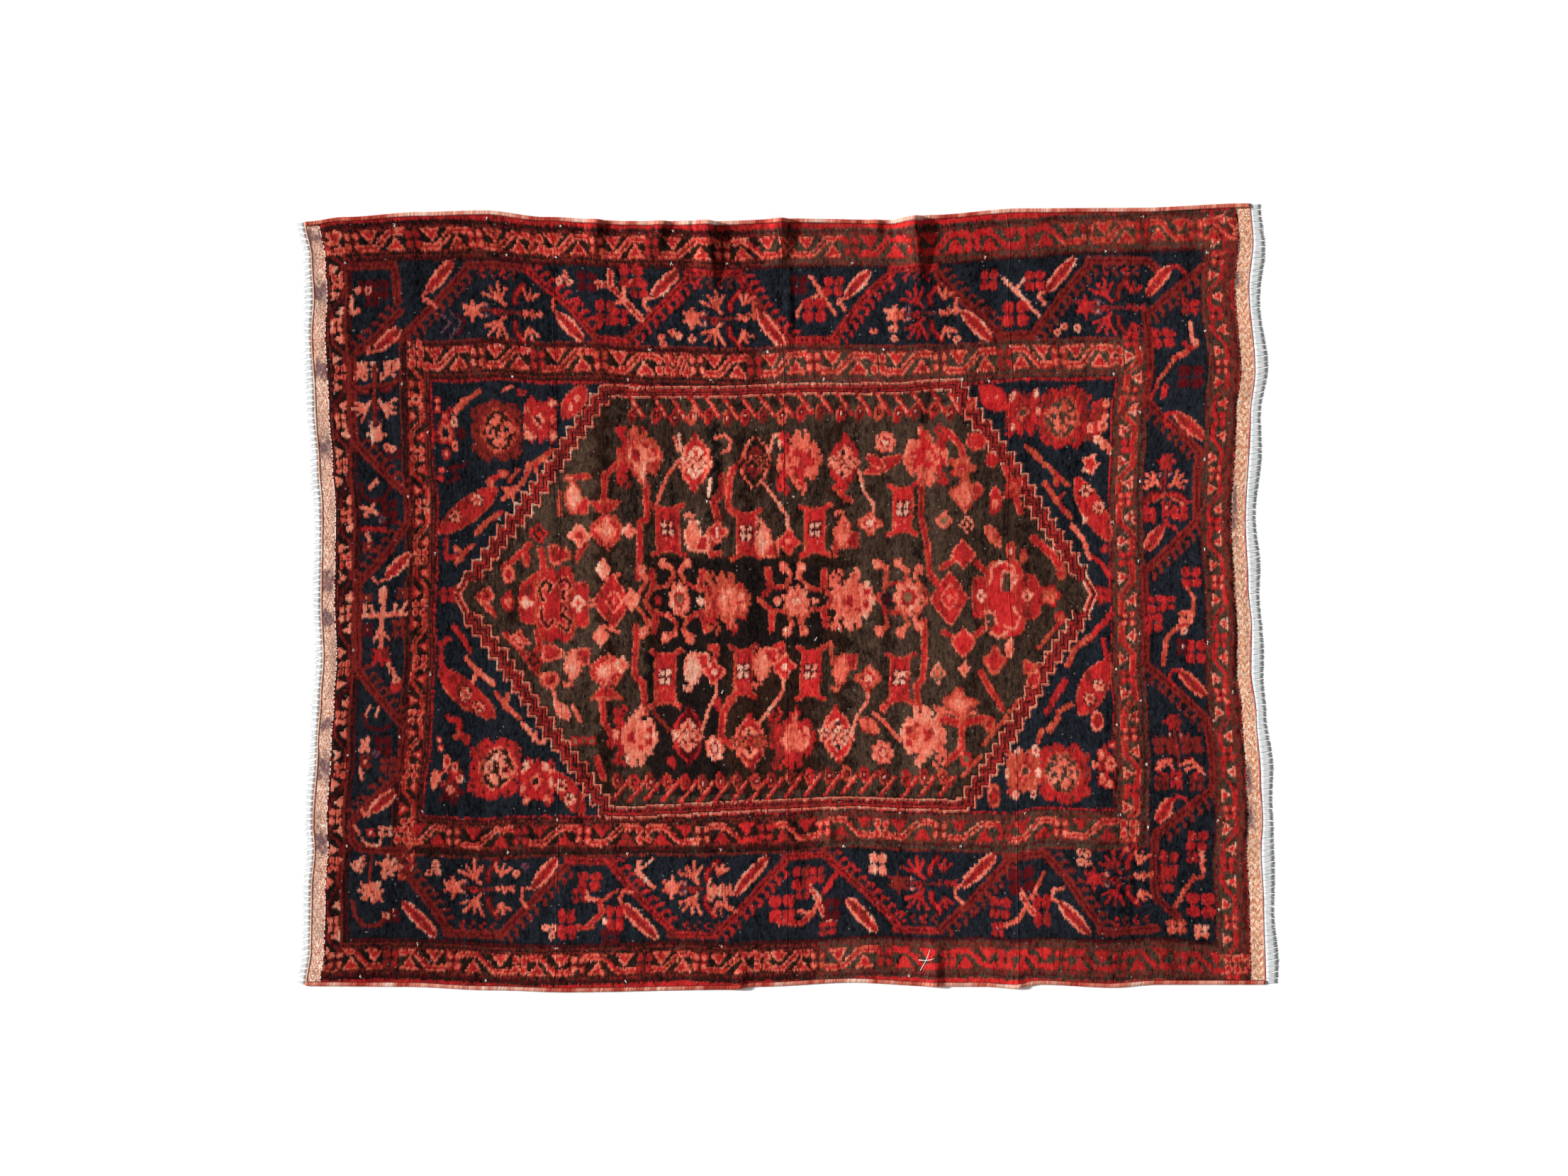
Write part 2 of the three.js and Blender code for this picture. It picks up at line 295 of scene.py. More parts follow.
    def toothed(
        self, wool: Wool, edge: Wool, side: int, *points: Point, width: float = 3.6, pitch: float = 6.6
    ) -> None:
        """Draws an outlined band with bent fingers along one side.

        Args:
            wool: Wool of the band and its fingers.
            edge: Wool of the band's outline.
            side: 1 or -1 for the side of the fingers, towards higher or lower columns, 0 for none.
            *points: Corners of the band.
            width: Width of its core.
            pitch: Spacing of the fingers.
        """
        path = np.array(points, float)
        if side:
            for start, end in zip(path[:-1], path[1:]):
                step = end - start
                length = np.linalg.norm(step)
                ahead = step / length
                out = np.array([-ahead[1], ahead[0]])
                out = out * side * np.sign(out[0] + 1e-9)
                droop = ahead * np.sign(ahead[1] + 1e-9)
                for place in np.arange(pitch * 0.5, length, pitch):
                    foot = start + ahead * place
                    knee = foot + out * 6.8 - droop * 0.8
                    tip = knee + droop * 2.4 + out * 1.2
                    self.stroke(wool, 2.3, tuple(foot), tuple(knee), tuple(tip))
        self.stroke(wool, width, *points, edge=edge)


@dataclass(frozen=True)
class Stamp:
    """A small figure charted as one letter for each knot, a dot where the ground shows."""

    rows: str

    def knot(
        self,
        chart: Chart,
        place: Point,
        wools: Sequence[Wool],
        along: Point = (1, 0),
        flip: int = 1,
        size: float = 1.0,
    ) -> None:
        """Draws the figure with its middle on a place.

        Args:
            chart: The chart.
            place: The middle.
            wools: Wools of the letters a, b, c and so on.
            along: Direction of the figure's rows on the chart, one knot long.
            flip: -1 to mirror it across that direction.
            size: Scale.
        """
        letters = np.array([[ord(letter) - 97 for letter in row] for row in self.rows.split()])
        height, width = letters.shape
        reach = np.full(2, size * math.hypot(width, height) / 2 - 14)
        box = chart.window(place - reach, place + reach)
        di, dj = chart.i[box] - place[0], chart.j[box] - place[1]
        p = np.floor((di * along[0] + dj * along[1]) / size + width / 2).astype(int)
        q = np.floor((dj * along[0] - di * along[1]) * flip / size + height / 2).astype(int)
        inside = (p >= 0) & (p < width) & (q >= 0) & (q < height)
        found = np.where(inside, letters[np.clip(q, 0, height - 1), np.clip(p, 0, width - 1)], -1)
        for number, wool in enumerate(wools):
            chart.wool[box][found == number] = wool


@dataclass(frozen=True)
class Wavers:
    """How far each side of a nest of frames strays, as curves along it."""

    left: Curve
    top: Curve
    right: Curve
    bottom: Curve


@dataclass(frozen=True)
class Guard:
    """A narrow border of flowers joined by ribbons, with a triangle on each side of a ribbon.

    The slopes are one letter for each gap between two flowers, u or d for the way its ribbon runs.
    """

    near: float
    far: float
    flowers: tuple[int, ...]
    waver: Curve
    slopes: str
    on_end: bool = False
    ribbons: tuple[Wool, Wool] = (Wool.RED, Wool.SALMON)
    corners: tuple[Wool, Wool] = (Wool.RED, Wool.SALMON)
    petals: tuple[tuple[Wool, Wool], ...] = (
        (Wool.RED, Wool.SALMON),
        (Wool.SALMON, Wool.RUST),
        (Wool.RED, Wool.RUST),
        (Wool.SALMON, Wool.RED),
    )
    broad: float = 0.3

    def knot(self, chart: Chart) -> None:
        """Draws the whole guard."""
        strip = (chart.turned() if self.on_end else chart).shifted(self.waver)
        middle, half = (self.near + self.far) / 2, (self.far - self.near) / 2
        for start, stop, slope in zip(self.flowers[:-1], self.flowers[1:], self.slopes):
            self.ribbon(strip, start, stop, slope == "u")
        for index, place in enumerate(self.flowers):
            core, edge = self.petals[index % len(self.petals)]
            strip.oval(Wool.GUARD, place, middle, 5.6, half, 5)
            reach = half * 0.5 - 0.4
            for side_i, side_j in QUARTERS:
                spot = (place + side_i * 2.9, middle + side_j * half * 0.5)
                strip.oval(edge, *spot, 2.5, reach, 2.6)
                strip.oval(core, *spot, 1.6, reach - 1, 2.2)
            strip.oval(Wool.WINE, place, middle, 1.2, 1.2)

    def ribbon(self, strip: Chart, start: float, stop: float, rising: bool) -> None:
        """Draws the ribbon and both triangles between two flowers.

        Args:
            strip: The guard's own chart.
            start: Place of the first flower.
            stop: Place of the next one.
            rising: True where the ribbon runs from the far to the near side.
        """
        span = stop - start
        deep = self.far - self.near
        half = min(deep * 0.44, span * 0.165)
        first, second = (self.near, self.far) if rising else (self.far, self.near)
        sign = 1 if rising else -1
        core, edge = self.ribbons
        bar = deep * 0.13
        path = (
            (start + 0.1 * span, second - sign * bar),
            (start + 0.37 * span, second - sign * bar),
            (start + 0.62 * span, first + sign * bar),
            (start + 0.9 * span, first + sign * bar),
        )
        strip.stroke(edge, deep * self.broad, *path)
        strip.stroke(core, deep * (self.broad - 0.17), *path)
        strip.stroke(Wool.GUARD, 0.9, *((i + 1, j - 1) for i, j in path[1:3]))
        core, edge = self.corners
        strip.triangle(core, start + 0.3 * span, first, half, sign * deep * 0.66, edge)
        strip.triangle(core, start + 0.7 * span, second, half, -sign * deep * 0.66, edge)


class Borders:
    """The nested frames, the guard borders and the navy main border."""

    OUTER = Wavers(
        ((0, 1), (95, 1), (200, 0.5), (300, -0.5), (420, -1.5), (540, -1)),
        ((0, 0), (150, 0.5), (400, 1.5), (480, 0.5), (560, -2), (620, -2)),
        ((0, -0.5), (100, -0.5), (200, 1), (300, 1), (420, 0), (540, 0)),
        ((0, 0), (240, -1), (340, 1), (400, -0.5), (460, -2), (500, 0), (560, 1), (582, 4), (620, 4)),
    )
    INNER = Wavers(
        ((0, 1), (120, 0.5), (250, 0), (300, -1), (330, -2), (360, -3), (400, -5), (540, -5)),
        ((0, 0), (60, -0.5), (150, -2.5), (190, -2.5), (300, 0), (400, 0), (560, 1.5), (620, 1.5)),
        ((0, 1.5), (120, 1), (250, 0.5), (330, -0.5), (360, -2), (400, -4), (540, -4)),
        ((0, 3), (75, 3), (110, 2.5), (160, 0), (210, 0), (260, -1.5), (300, 0), (400, -1), (470, 0))
        + ((620, -1),),
    )
    # Wool, then the left, top, right and bottom side of each frame.
    OUTER_FRAMES = """
        red -9,-9,630,550; guard -9,2.0,619.0,538.2; wine -9,4.0,618.0,536.4; guard -9,4.9,616.2,535.4;
        rust -9,5.9,615.2,534.2; guard -9,6.8,613.8,533.2; rust 0.3,7.5,613.2,531.9;
        guard 0.9,7.9,612.8,531.3; rust 11.0,22.9,601.6,516.8; guard 13.0,24.1,600.8,515.8;
        rust 13.0,26.2,599.8,514.0; guard 13.1,27.3,599.0,512.8; wine 14.8,28.4,598.2,511.4;
        black 16.2,29.6,597.6,510.0; navy 16.5,30.4,597.2,509.0
    """
    INNER_FRAMES = """
        rust 47.8,87.0,557.8,447.6; guard 48.8,88.2,556.8,446.4; wine 50.7,89.4,555.0,443.6;
        guard 51.6,90.3,554.0,442.6; rust 52.4,91.2,552.6,441.0; guard 53.2,92.0,551.6,439.8;
        rust 64.4,107.9,539.6,425.4; guard 65.4,109.0,538.6,424.4; rust 66.6,111.2,537.2,422.8;
        guard 67.4,112.4,536.4,421.8; wine 68.4,114.2,535.4,420.3; red 69.1,115.3,534.6,419.5;
        navy 70.1,116.5,533.8,418.6
    """
    SOLID = ((Wool.CORAL, Wool.SALMON), (Wool.RED, Wool.SALMON))
    PLAIN = ((Wool.BRIGHT, Wool.RED), (Wool.SALMON, Wool.RED))
    # Places of the blossoms along each guard.
    OUTER_LEFT = (11, 42, 73, 107, 141, 173, 208, 240, 277, 316, 352, 390, 423, 457, 499, 527)
    OUTER_RIGHT = (-6, 33, 72, 110, 147, 185, 221, 261, 302, 340, 381, 422, 458, 498, 540)
    OUTER_TOP = (-18, 20, 61, 103, 144, 185, 222, 270, 314, 358, 400, 440, 477, 519, 556, 592, 630)
    OUTER_BOTTOM = (-30, 7, 44, 86, 130, 169, 214, 252, 294, 331, 375, 417, 455, 493, 532, 573, 608, 646)
    INNER_LEFT = (92, 129, 168, 205, 240, 276, 315, 353, 391, 429, 462)
    INNER_RIGHT = (90, 128, 165, 202, 243, 285, 326, 367, 407, 444)
    INNER_TOP = (60, 102, 143, 186, 228, 251, 290, 330, 374, 416, 460, 497, 535)
    INNER_BOTTOM = (50, 85, 131, 173, 213, 252, 294, 333, 373, 413, 457, 495, 540)
    SPARE = ((Wool.RED, Wool.SALMON),)
    BROKEN = (Wool.RUST, Wool.WINE)
    DULL = (Wool.RED, Wool.OLIVE)
    WARM = (Wool.RED, Wool.ORANGE)
    PALE = (Wool.CORAL, Wool.CORAL)
    ROSY = (Wool.SALMON, Wool.RED)
    LIT = (Wool.RED, Wool.CORAL)
    CLEAR = (Wool.BRIGHT, Wool.CORAL)
    GUARDS = (
        Guard(2.0, 10.9, OUTER_LEFT, OUTER.left, "du" * 8, True, BROKEN, PALE, SOLID),
        Guard(602.6, 612.6, OUTER_RIGHT, OUTER.right, "du" * 7, True, DULL, CLEAR, PLAIN, 0.5),
        Guard(7.9, 22.6, OUTER_TOP, OUTER.top, "duuuuuuduuudduddu"),
        Guard(517.2, 531.2, OUTER_BOTTOM, OUTER.bottom, "dddddduuuuddddddd"),
        Guard(53.6, 64.0, INNER_LEFT, INNER.left, "du" * 6, True, WARM, ROSY, SPARE),
        Guard(540.0, 551.2, INNER_RIGHT, INNER.right, "ud" * 6, True, WARM, LIT, PLAIN, 0.42),
        Guard(92.2, 107.6, INNER_TOP, INNER.top, "u" * 10 + "du"),
        Guard(425.8, 439.5, INNER_BOTTOM, INNER.bottom, "uuuudddduuuuu", corners=(Wool.RED, Wool.RED)),
    )
    # Side of the teeth, 0 for none, then the corners of the run.
    MEANDER = """
        0 17,33 46,33 48,60; 1 50,86 95,37; 0 96,34.5 138,33.5; 1 138,35 165,60 184,82; 0 183,82 206,82;
        1 205,81 235,50 247,36; 0 246,33 281,33; 1 281,36 300,65 316,83; 0 315,84 347,84;
        1 346,82 375,45 386,35; 0 385,32 415,33; 1 416,37 445,70 458,84; 0 457,85 481,85;
        1 481,84 500,60 520,37; 0 519,34 559,34 567,41; 1 598,39 580,55 560,71; 0 559,70 557,132;
        -1 558,132 572,146 597,170; 0 596,169 596,217; 1 596,218 578,236 560,252; 0 558,250 558,318;
        -1 558,318 572,330 597,357; 0 597,356 597,404; 1 597,405 580,418 559,437;
        0 558,436 558,482 572,496; 0 16,98 16,158; 1 17,158 34,177 49,195; 0 49,196 49,216;
        -1 49,216 35,236 17,255; 0 15,256 15,318; 1 15,318 30,338 49,361; 0 49,360 46,395;
        -1 46,395 30,410 17,426; 0 16,426 16,440 21,446 52,447; -1 50,66 35,82 20,93;
        1 47,452 65,478 82,502; 0 81,504 117,504; 1 117,503 140,478 163,452; 0 162,450 191,451;
        1 190,452 205,470 233,501; 0 232,504 263,504; 1 262,503 285,480 309,453; 0 308,450.5 337,451;
        1 337,453 350,466 385,501; 0 384,504 413,503; 1 413,502 430,486 459,453; 0 458,450 486,451;
        1 486,453 500,470 520,501; 0 519,504 557,504
    """
    # Both tips of each serrated leaf.
    CYPRESS = """
        68,52 86,31; 222,51 240,32; 355,53 370,34; 491,55 510,32; 157,65 175,84; 296,62 312,88;
        433,65 452,88; 560,58 575,39; 578,141 598,160; 32,93 50,78; 34,254 51,237; 29,419 45,405;
        572,222 560,238; 581,323 598,341; 569,412 559,429; 51,483 74,507; 200,481 223,507; 350,483 371,507;
        493,485 512,506; 139,470 155,449; 276,474 296,450; 428,472 451,448
    """
    # Corners of the small curls beside the serrated leaves.
    LOOPS = """
        139,470 132,470 131,478 135,483; 276,474 268,473 270,482 276,487; 429,471 423,472 423,479 428,484;
        200,481 198,477 201,472 206,473; 493,485 488,482 489,476 496,475; 578,141 573,141 571,147 575,151;
        581,323 576,323 573,328 576,333; 569,412 573,410 578,411 582,418; 572,222 575,221 580,222 584,228;
        575,39 580,38 586,44; 34,254 28,257 25,253; 29,419 25,422 23,418; 32,93 27,95 28,90;
        68,52 65,56 71,60 75,63; 222,51 216,53 217,57 221,60; 355,53 350,56 355,62; 491,55 485,57 489,64;
        157,65 154,62 154,55; 296,62 292,60 292,54; 433,65 429,62 430,56
    """
    # Wools of a plant, its head, its axis, and the places of its bow, tail and sides.
    PLANTS = """
        salmon salmon red salmon 99,66 1,0 32,41,13.5; 250,65 1,0 29,38,13;
        salmon red red salmon 388,65 1,0 27,36,13; red red rust red 517,67 1,0 26,35,14;
        salmon salmon rust salmon 85,471 1,0 27,35,13; salmon salmon red salmon 233,470 1,0 26,34,13;
        rust red red red 385,470 1,0 25,33,13; red red red salmon 517,467 1,0 26,34,13;
        coral coral rust coral 31,152 0,-1 34,46,10;
        red salmon rust red 574,176 0,1 26,38,10; red rust salmon red 574,358 0,1 30,41,10
    """
    # Wool, width and corners of a branch, and a second wool for its core.
    BRANCHES = """
        coral red 4.4 215,66 203,53; coral 2.8 203,53 203,43 208,40; 2.6 203,53 194,57;
        coral red 4.6 201,50 193,43 185,43; 4.6 194,43 194,34; salmon 2.6 348,65 338,50 330,38;
        2.4 338,50 326,56 322,66; coral 2.8 485,72 475,60 462,45; 2.4 475,60 470,52 478,44;
        2.8 174,468 177,477 184,479; orange red 4.2 184,479 187,486 182,491 177,497 165,498;
        orange 2.4 187,478 197,471; coral 3.0 188,492 193,500;
        coral red 4.0 326,473 330,480 334,492 338,497; salmon 2.8 332,481 327,492 318,489;
        orange red 4.2 327,492 320,498 306,497; red 3.6 335,478 341,469 345,465;
        coral red 4.0 467,474 470,482 476,492; salmon 3.2 472,484 464,494 455,498;
        orange 2.8 474,480 480,470 483,464; orange red 4.0 590,94 584,98 574,103;
        orange 2.4 574,103 564,117 561,131; coral 2.6 589,78 588,92; red 3.2 582,92 586,97;
        orange 2.8 586,262 591,272 590,285; 3.4 580,292 572,301 570,318;
        salmon red 4.0 583,283 588,289 580,293; coral 3.0 590,448 591,463;
        orange 2.4 592,466 584,468 580,474; 2.8 585,467 577,478 571,488;
        wine 2.4 20,186 19,194 25,199 33,197 39,189; coral 2.2 25,190 30,184;
        wine 2.4 20,350 24,359 33,362 40,358; coral 2.0 22,351 25,345; 2.0 29,352 31,346;
        rust 3.0 18,484 20,494 26,501 36,500 42,492; coral 2.6 38,494 44,490; red 3.2 18,218 33,219;
        coral 3.0 18,203 28,207; 2.6 20,209 26,201; 3.4 19,376 24,368; 2.8 24,376 20,369; 2.4 17,54 17,63;
        3.2 18,66 22,64; 2.6 19,388 21,396; 2.4 18,430 21,435; 2.4 23,439 26,443 34,443 36,438;
        2.6 21,222 24,229; rust 2.6 22,118 43,117; 3.0 31,104 31,144; coral 2.6 210,451 208,458 221,470;
        2.0 219,450 210,458; 1.9 258,463 258,478 261,477; mauve 1.6 78,68 84,74 78,80;
        1.6 84,66 91,74 84,84; wine 1.6 89,68 94,74 89,82; salmon 2.2 560,387 566,385 570,391;
        2.0 558,392 564,389; 2.2 575,388 582,385 590,391; 1.8 578,391 585,389 590,394;
        red 2.0 562,206 568,200 580,199 592,205; orange 1.8 566,204 575,199 586,206
    """
    # Four-petalled flowers: wool, middle and half sizes.
    SQUARES = """
        wine 178,42 7,7; red 208,36 8,8; 213,45 6,6; 190,63 7,9; 200,65 6,6; 346,45 7,7; 334,62 8,9;
        wine 322,44 6,7; red 452,45 6,7; 483,47 7,7; 469,70 9,9; wine 26,48 5,5; 36,50 6,7; 31,57 5,5;
        red 177,465 8,7; 171,475 5,5; 162,495 6,11; 195,491 6,9; wine 191,504 6,5; red 320,466 6,8;
        331,465 5,6; 321,476 5,5; 307,487 9,10; wine 340,490 6,8; red 338,503 6,5; wine 468,467 9,9;
        red 453,486 7,8; 451,501 4,5; 481,490 6,11; wine 586,116 9,8; red 568,88 8,7; 590,67 6,5;
        590,258 7,7; 565,276 6,6; 563,289 6,6; 573,276 5,5; salmon 585,286 5,5; red 592,310 7,8;
        wine 583,307 4,6; red 586,441 7,7; 584,453 4,4; 568,458 6,9; 566,472 5,7; 588,487 10,9;
        orange 571,503 7,5; coral 588,506 5,5; rust 566,375 8,6; 584,374 8,6; red 572,398 4,6;
        rust 562,401 5,5; 586,401 5,5; red 575,209 3.4,5; 563,214 5,5; 584,212 6,5; wine 43,167 5,4;
        36,205 6,7; 36,212 5,4; rust 22,231 4,4; wine 22,290 4,5; rust 44,290 5,7; wine 34,373 6,7;
        rust 38,386 6,5; 22,384 4,5; wine 45,493 4,5; red 29,434 3,3; coral 39,433 5,4; 23,104 4,4;
        43,104 6,4; 372,458 6,8; 263,472 4,4; rust 46,265 4,4; 21,267 4,3
    """
    # Small round flowers: wool and places.
    DOTS = """
        coral 74,456 70,462 75,461 148,497 153,498 152,503 508,449 513,450 508,456 513,456 128,460;
        38,161 42,163 38,320 241,78 250,80 386,75 386,82 497,84 502,80 511,82 428,84 28,50;
        163,38 159,42 166,43 590,92 24,111 37,111 584,296 40,493 21,50 42,327; mauve 134,455 31,212 29,378;
        salmon 229,79 373,77 230,84 236,75; red 565,85 575,85 590,68 569,123 569,128 557,114
    """
    # Wool found, wool put in its place, and the ends of the stretch along and across.
    BATCHES = """
        guard black -9,48,0,540; 48,84,0,60; guard olive 296,630,0,120; 330,630,420,540; 530,560,100,440;
        560,630,100,440; wine rust 612,619,10,530; salmon red 350,500,0,30; red bright 372,455,0,30;
        salmon bright 372,492,508,540; red bright 376,492,508,540; salmon red 492,600,508,540;
        salmon orange 500,612,0,30; red bright 276,300,424,442; salmon bright 276,300,424,442
    """
    # Where each row of four hooks starts.
    HOOKS = ((106, 40), (254, 40), (396, 39), (531, 41), (92, 498), (243, 497), (388, 495), (530, 497))
    STAR = Stamp("""
        ......aa.......
        ......aa...aa..
        .aa...aaa.aaa..
        .aaaa.aaaaaaa..
        ..aaaaaaaaaa...
        ...aaaaaaaaa...
        aaa.aaaaaaaa.aa
        aaaaaaabbaaaaa.
        .aaaaaabbaaaa..
        ...aaaaaaaaaa..
        ..aaaaaaaaaaa..
        .aaaaa.aaaaaa..
        .aaa...aa.aaaa.
        ..a....aa...aa.
        .......aa......
    """)
    LEAF = Stamp("""
        ............aa..
        .....aaa...aaaa.
        .....aaa..aaaaa.
        aa...aaaa.aaaa..
        aaaa.aaaaaaaaa..
        .aaaaaaaaaaaa...
        ..aaaaaaabaaa...
        ..aaaaaabaaaaa..
        ..aaaaabaaaaaaaa
        ...aaaabaaaaaaaa
        ..aaaaaaaa.aaa..
        .aaaa.aaaa.aa...
        aaa....aaaaaa...
        aa......aaaaaa..
        .........aaaaaa.
        ...........aaaa.
    """)
    COMB = Stamp("""
        ........a.
        .......aa.
        ......aaa.
        .....aaa..
        ..aaaaa...
        .aabaaa.aa
        aaabaaaaaa
        .aabaaa.aa
        ..aaaa....
        ...aaaaa..
        .....aaaa.
        .......aa.
    """)
    TIE = Stamp("""
        aa...aaa...aa
        aaaa.aba.aaaa
        aaaaaabaaaaaa
        aaaa.aba.aaaa
        .a...aaa...aa
        ......a......
    """)
    RING = Stamp("""
        .aaa.
        aabaa
        ab.ba
        aabaa
        .aaa.
    """)
    HOOK = Stamp("""
        ...aa.
        ..aaa.
        .aa...
        aa....
        .aa...
        ..aaa.
        ...aa.
    """)

    def knot(self, chart: Chart) -> None:
        """Draws everything outside the field."""
        for text, wavers in ((self.OUTER_FRAMES, self.OUTER), (self.INNER_FRAMES, self.INNER)):
            for (wool,), (sides,) in entries(text):
                self.frame(chart, wool, sides, wavers)
        for guard in self.GUARDS:
            guard.knot(chart)
        for _, ((side,), *points) in entries(self.MEANDER):
            wool = Wool.RUST if points[0][0] < 120 or points[0][0] > 400 else Wool.RED
            chart.toothed(wool, Wool.RUST, int(side), *points)
            chart.stroke(Wool.WINE, 1.2, *points)
        for _, loop in entries(self.LOOPS):
            chart.stroke(Wool.RED if loop[0][0] > 550 else Wool.SALMON, 2.2, *loop)
        for _, (start, end) in entries(self.CYPRESS):
            pale = Wool.SALMON if start[0] > 550 else Wool.CORAL
            chart.leaf(pale, 9.4, start, end, full=0.36)
            chart.leaf(Wool.RED, 5.6, start, end, full=0.36)
            chart.stroke(Wool.RUST, 1.1, start, end)
        self.plants(chart)
        self.sprays(chart)
        self.dyes(chart)

    @staticmethod
    def frame(chart: Chart, wool: Wool, sides: tuple[float, ...], wavers: Wavers) -> None:
        """Fills one frame: knots inside its four straying sides, given as left, top, right and bottom."""
        i, j = chart.i, chart.j
        left, top, right, bottom = sides
        straying = (wavers.left, wavers.top, wavers.right, wavers.bottom)
        curves = [np.array(curve, float).T for curve in straying]
        inside = i > left + np.interp(j, *curves[0])
        inside &= j > top + np.interp(i, *curves[1])
        inside &= i < right + np.interp(j, *curves[2])
        inside &= j < bottom + np.interp(i, *curves[3])
        chart.wool[inside] = wool

    def plant(
        self,
        chart: Chart,
        head: Point,
        axis: Point,
        wools: Sequence[Wool],
        bar: float,
        tail: float,
        spread: float,
    ) -> None:
        """Draws a plant on a straight stem: a star, two open hands, a bow and three blossoms.

        Args:
            chart: The chart.
            head: Middle of the star.
            axis: Direction of the stem away from it, one knot long.
            wools: Wools of the star, the leaves, the bow and the blossoms.
            bar: Distance of the bow along the stem.
            tail: Distance of the blossoms along it.
            spread: Half width of the plant.
        """
        star, leaf, bow, blossom = wools
        ahead = np.array(axis, float)
        side = np.array([-ahead[1], ahead[0]])
        size = 0.8 if spread < 12 else 1.0

        def at(along: float, across: float) -> Point:
            """Returns the chart's point at a distance along the stem and across it."""
            return tuple(np.array(head, float) + along * ahead + across * side)

        chart.stroke(Wool.RUST, 1.8, at(5, 0), at(bar, 0))
        self.hand(chart, star, head, ahead, 9.5 * size, 6, 2.6, 2.3)
        chart.oval(star, *head, 4.6, 4.8)
        for sign in (-1, 1):
            out = ahead * 0.3 + side * sign * 0.95
            fold = side * sign * 0.95 - ahead * 0.4
            reach = sign * spread
            self.hand(chart, leaf, at(bar * 0.58, reach * 0.55), fold, 12.5 * size, 4, 0.8, 2.1)
            chart.stroke(leaf, 2.2, at(bar * 0.58, reach * 0.55), at(bar * 0.7, reach * 0.3))
            bend = (at(bar + 3, reach * 1.5), at(bar - 3, reach * 0.9), at(bar - 3, reach * 0.5))
            chart.stroke(bow, 2.4, *bend, edge=Wool.WINE)
            self.hand(chart, blossom, at(tail - 3, reach * 0.75), out, 9 * size, 3, 0.7, 2.1)
            self.RING.knot(chart, at(9, sign * 3.6), (Wool.MAUVE, Wool.CORAL), size=size * 0.8)
        self.TIE.knot(chart, at(tail, 0), (blossom, Wool.RUST), axis, size=size)
        self.RING.knot(chart, at(bar * 0.5 + 1, 1), (Wool.RED, Wool.WINE), size=size)

    def plants(self, chart: Chart) -> None:
        """Draws the plants in the cells of the meander and the small hooks beside its runs."""
        for wools, (head, axis, (bar, tail, spread)) in entries(self.PLANTS):
            self.plant(chart, head, axis, wools, bar, tail, spread)
        for first, row in self.HOOKS:
            for step in range(4):
                wool = Wool.RUST if step % 2 else Wool.RED
                self.HOOK.knot(chart, (first + 7 * step, row), (wool,), flip=1 if row < 200 else -1)
        self.candelabra(chart)

    @staticmethod
    def hand(
        chart: Chart,
        wool: Wool,
        wrist: Point,
        ahead: np.ndarray,
        reach: float,
        fingers: int,
        spread: float,
        width: float,
    ) -> None:
        """Draws fingers that fan out from a wrist, the outer ones a little shorter.

        Args:
            chart: The chart.
            wool: Wool of the fingers.
            wrist: Where they meet.
            ahead: Direction of the middle finger, one knot long.
            reach: Its length.
            fingers: Number of fingers.
            spread: Angle from the middle to the last finger in radians.
            width: Width of a finger.
        """
        for index, turn in enumerate(np.linspace(-spread, spread, fingers)):
            length = reach * (1 - 0.1 * abs(turn)) * (1 - 0.14 * (index % 2))
            di = length * (ahead[0] * math.cos(turn) - ahead[1] * math.sin(turn))
            dj = length * (ahead[1] * math.cos(turn) + ahead[0] * math.sin(turn))
            chart.stroke(wool, width, wrist, (wrist[0] + di, wrist[1] + dj))

    def candelabra(self, chart: Chart) -> None:
        """Draws the left border's two other figures: a branched candlestick and a star under two combs."""
        pale = Wool.CORAL
        self.STAR.knot(chart, (31, 309), (Wool.RED, Wool.RUST), size=1.05)
        chart.stroke(pale, 3.0, (19, 280), (49, 280))
        for foot, tip in (((20, 279), (20, 272)), ((27, 280), (24, 273)), ((41, 280), (41, 272))):
            chart.stroke(pale, 2.4, foot, tip)
        chart.stroke(pale, 2.4, (45, 279), (49, 272))
        chart.stroke(pale, 3.2, (33, 271), (32, 290), (31, 303))
        chart.stroke(pale, 2.4, (26, 298), (31, 290), (37, 298))
        chart.leaf(pale, 6.5, (33, 259), (32, 271))
        chart.stroke(pale, 3.0, (36, 316), (42, 327))
        chart.oval(Wool.RED, 42, 331, 4, 5)
        self.STAR.knot(chart, (31, 476), (pale, Wool.RED), size=1.15)
        self.COMB.knot(chart, (21, 457), (pale, Wool.RUST), size=1.1)
        self.LEAF.knot(chart, (42, 458), (pale, Wool.RED), (0.6, 0.8))
        chart.stroke(Wool.RUST, 2.2, (30, 448), (30, 468))

    def sprays(self, chart: Chart) -> None:
        """Draws the branches of square flowers between the meander's runs, and the small flowers."""
        for (wool, *core), ((width,), *points) in entries(self.BRANCHES):
            chart.stroke(wool, width, *points)
            if core:
                chart.stroke(core[0], width - 2.4, *points)
        for (wool,), ((i, j), (ri, rj)) in entries(self.SQUARES):
            chart.flower(wool, i, j, ri, rj, Wool.NAVY if ri > 4 else Wool.CORAL)
        for (wool,), places in entries(self.DOTS):
            for i, j in places:
                chart.oval(wool, i, j, 2.6, 2.6)
                chart.oval(Wool.WINE, i, j, 0.8, 0.8)

    def dyes(self, chart: Chart) -> None:
        """Changes wools along the rug where the maker's batches changed."""
        for (old, new), ((i0, i1, j0, j1),) in entries(self.BATCHES):
            chart.recolour(old, new, i0, i1, j0, j1)


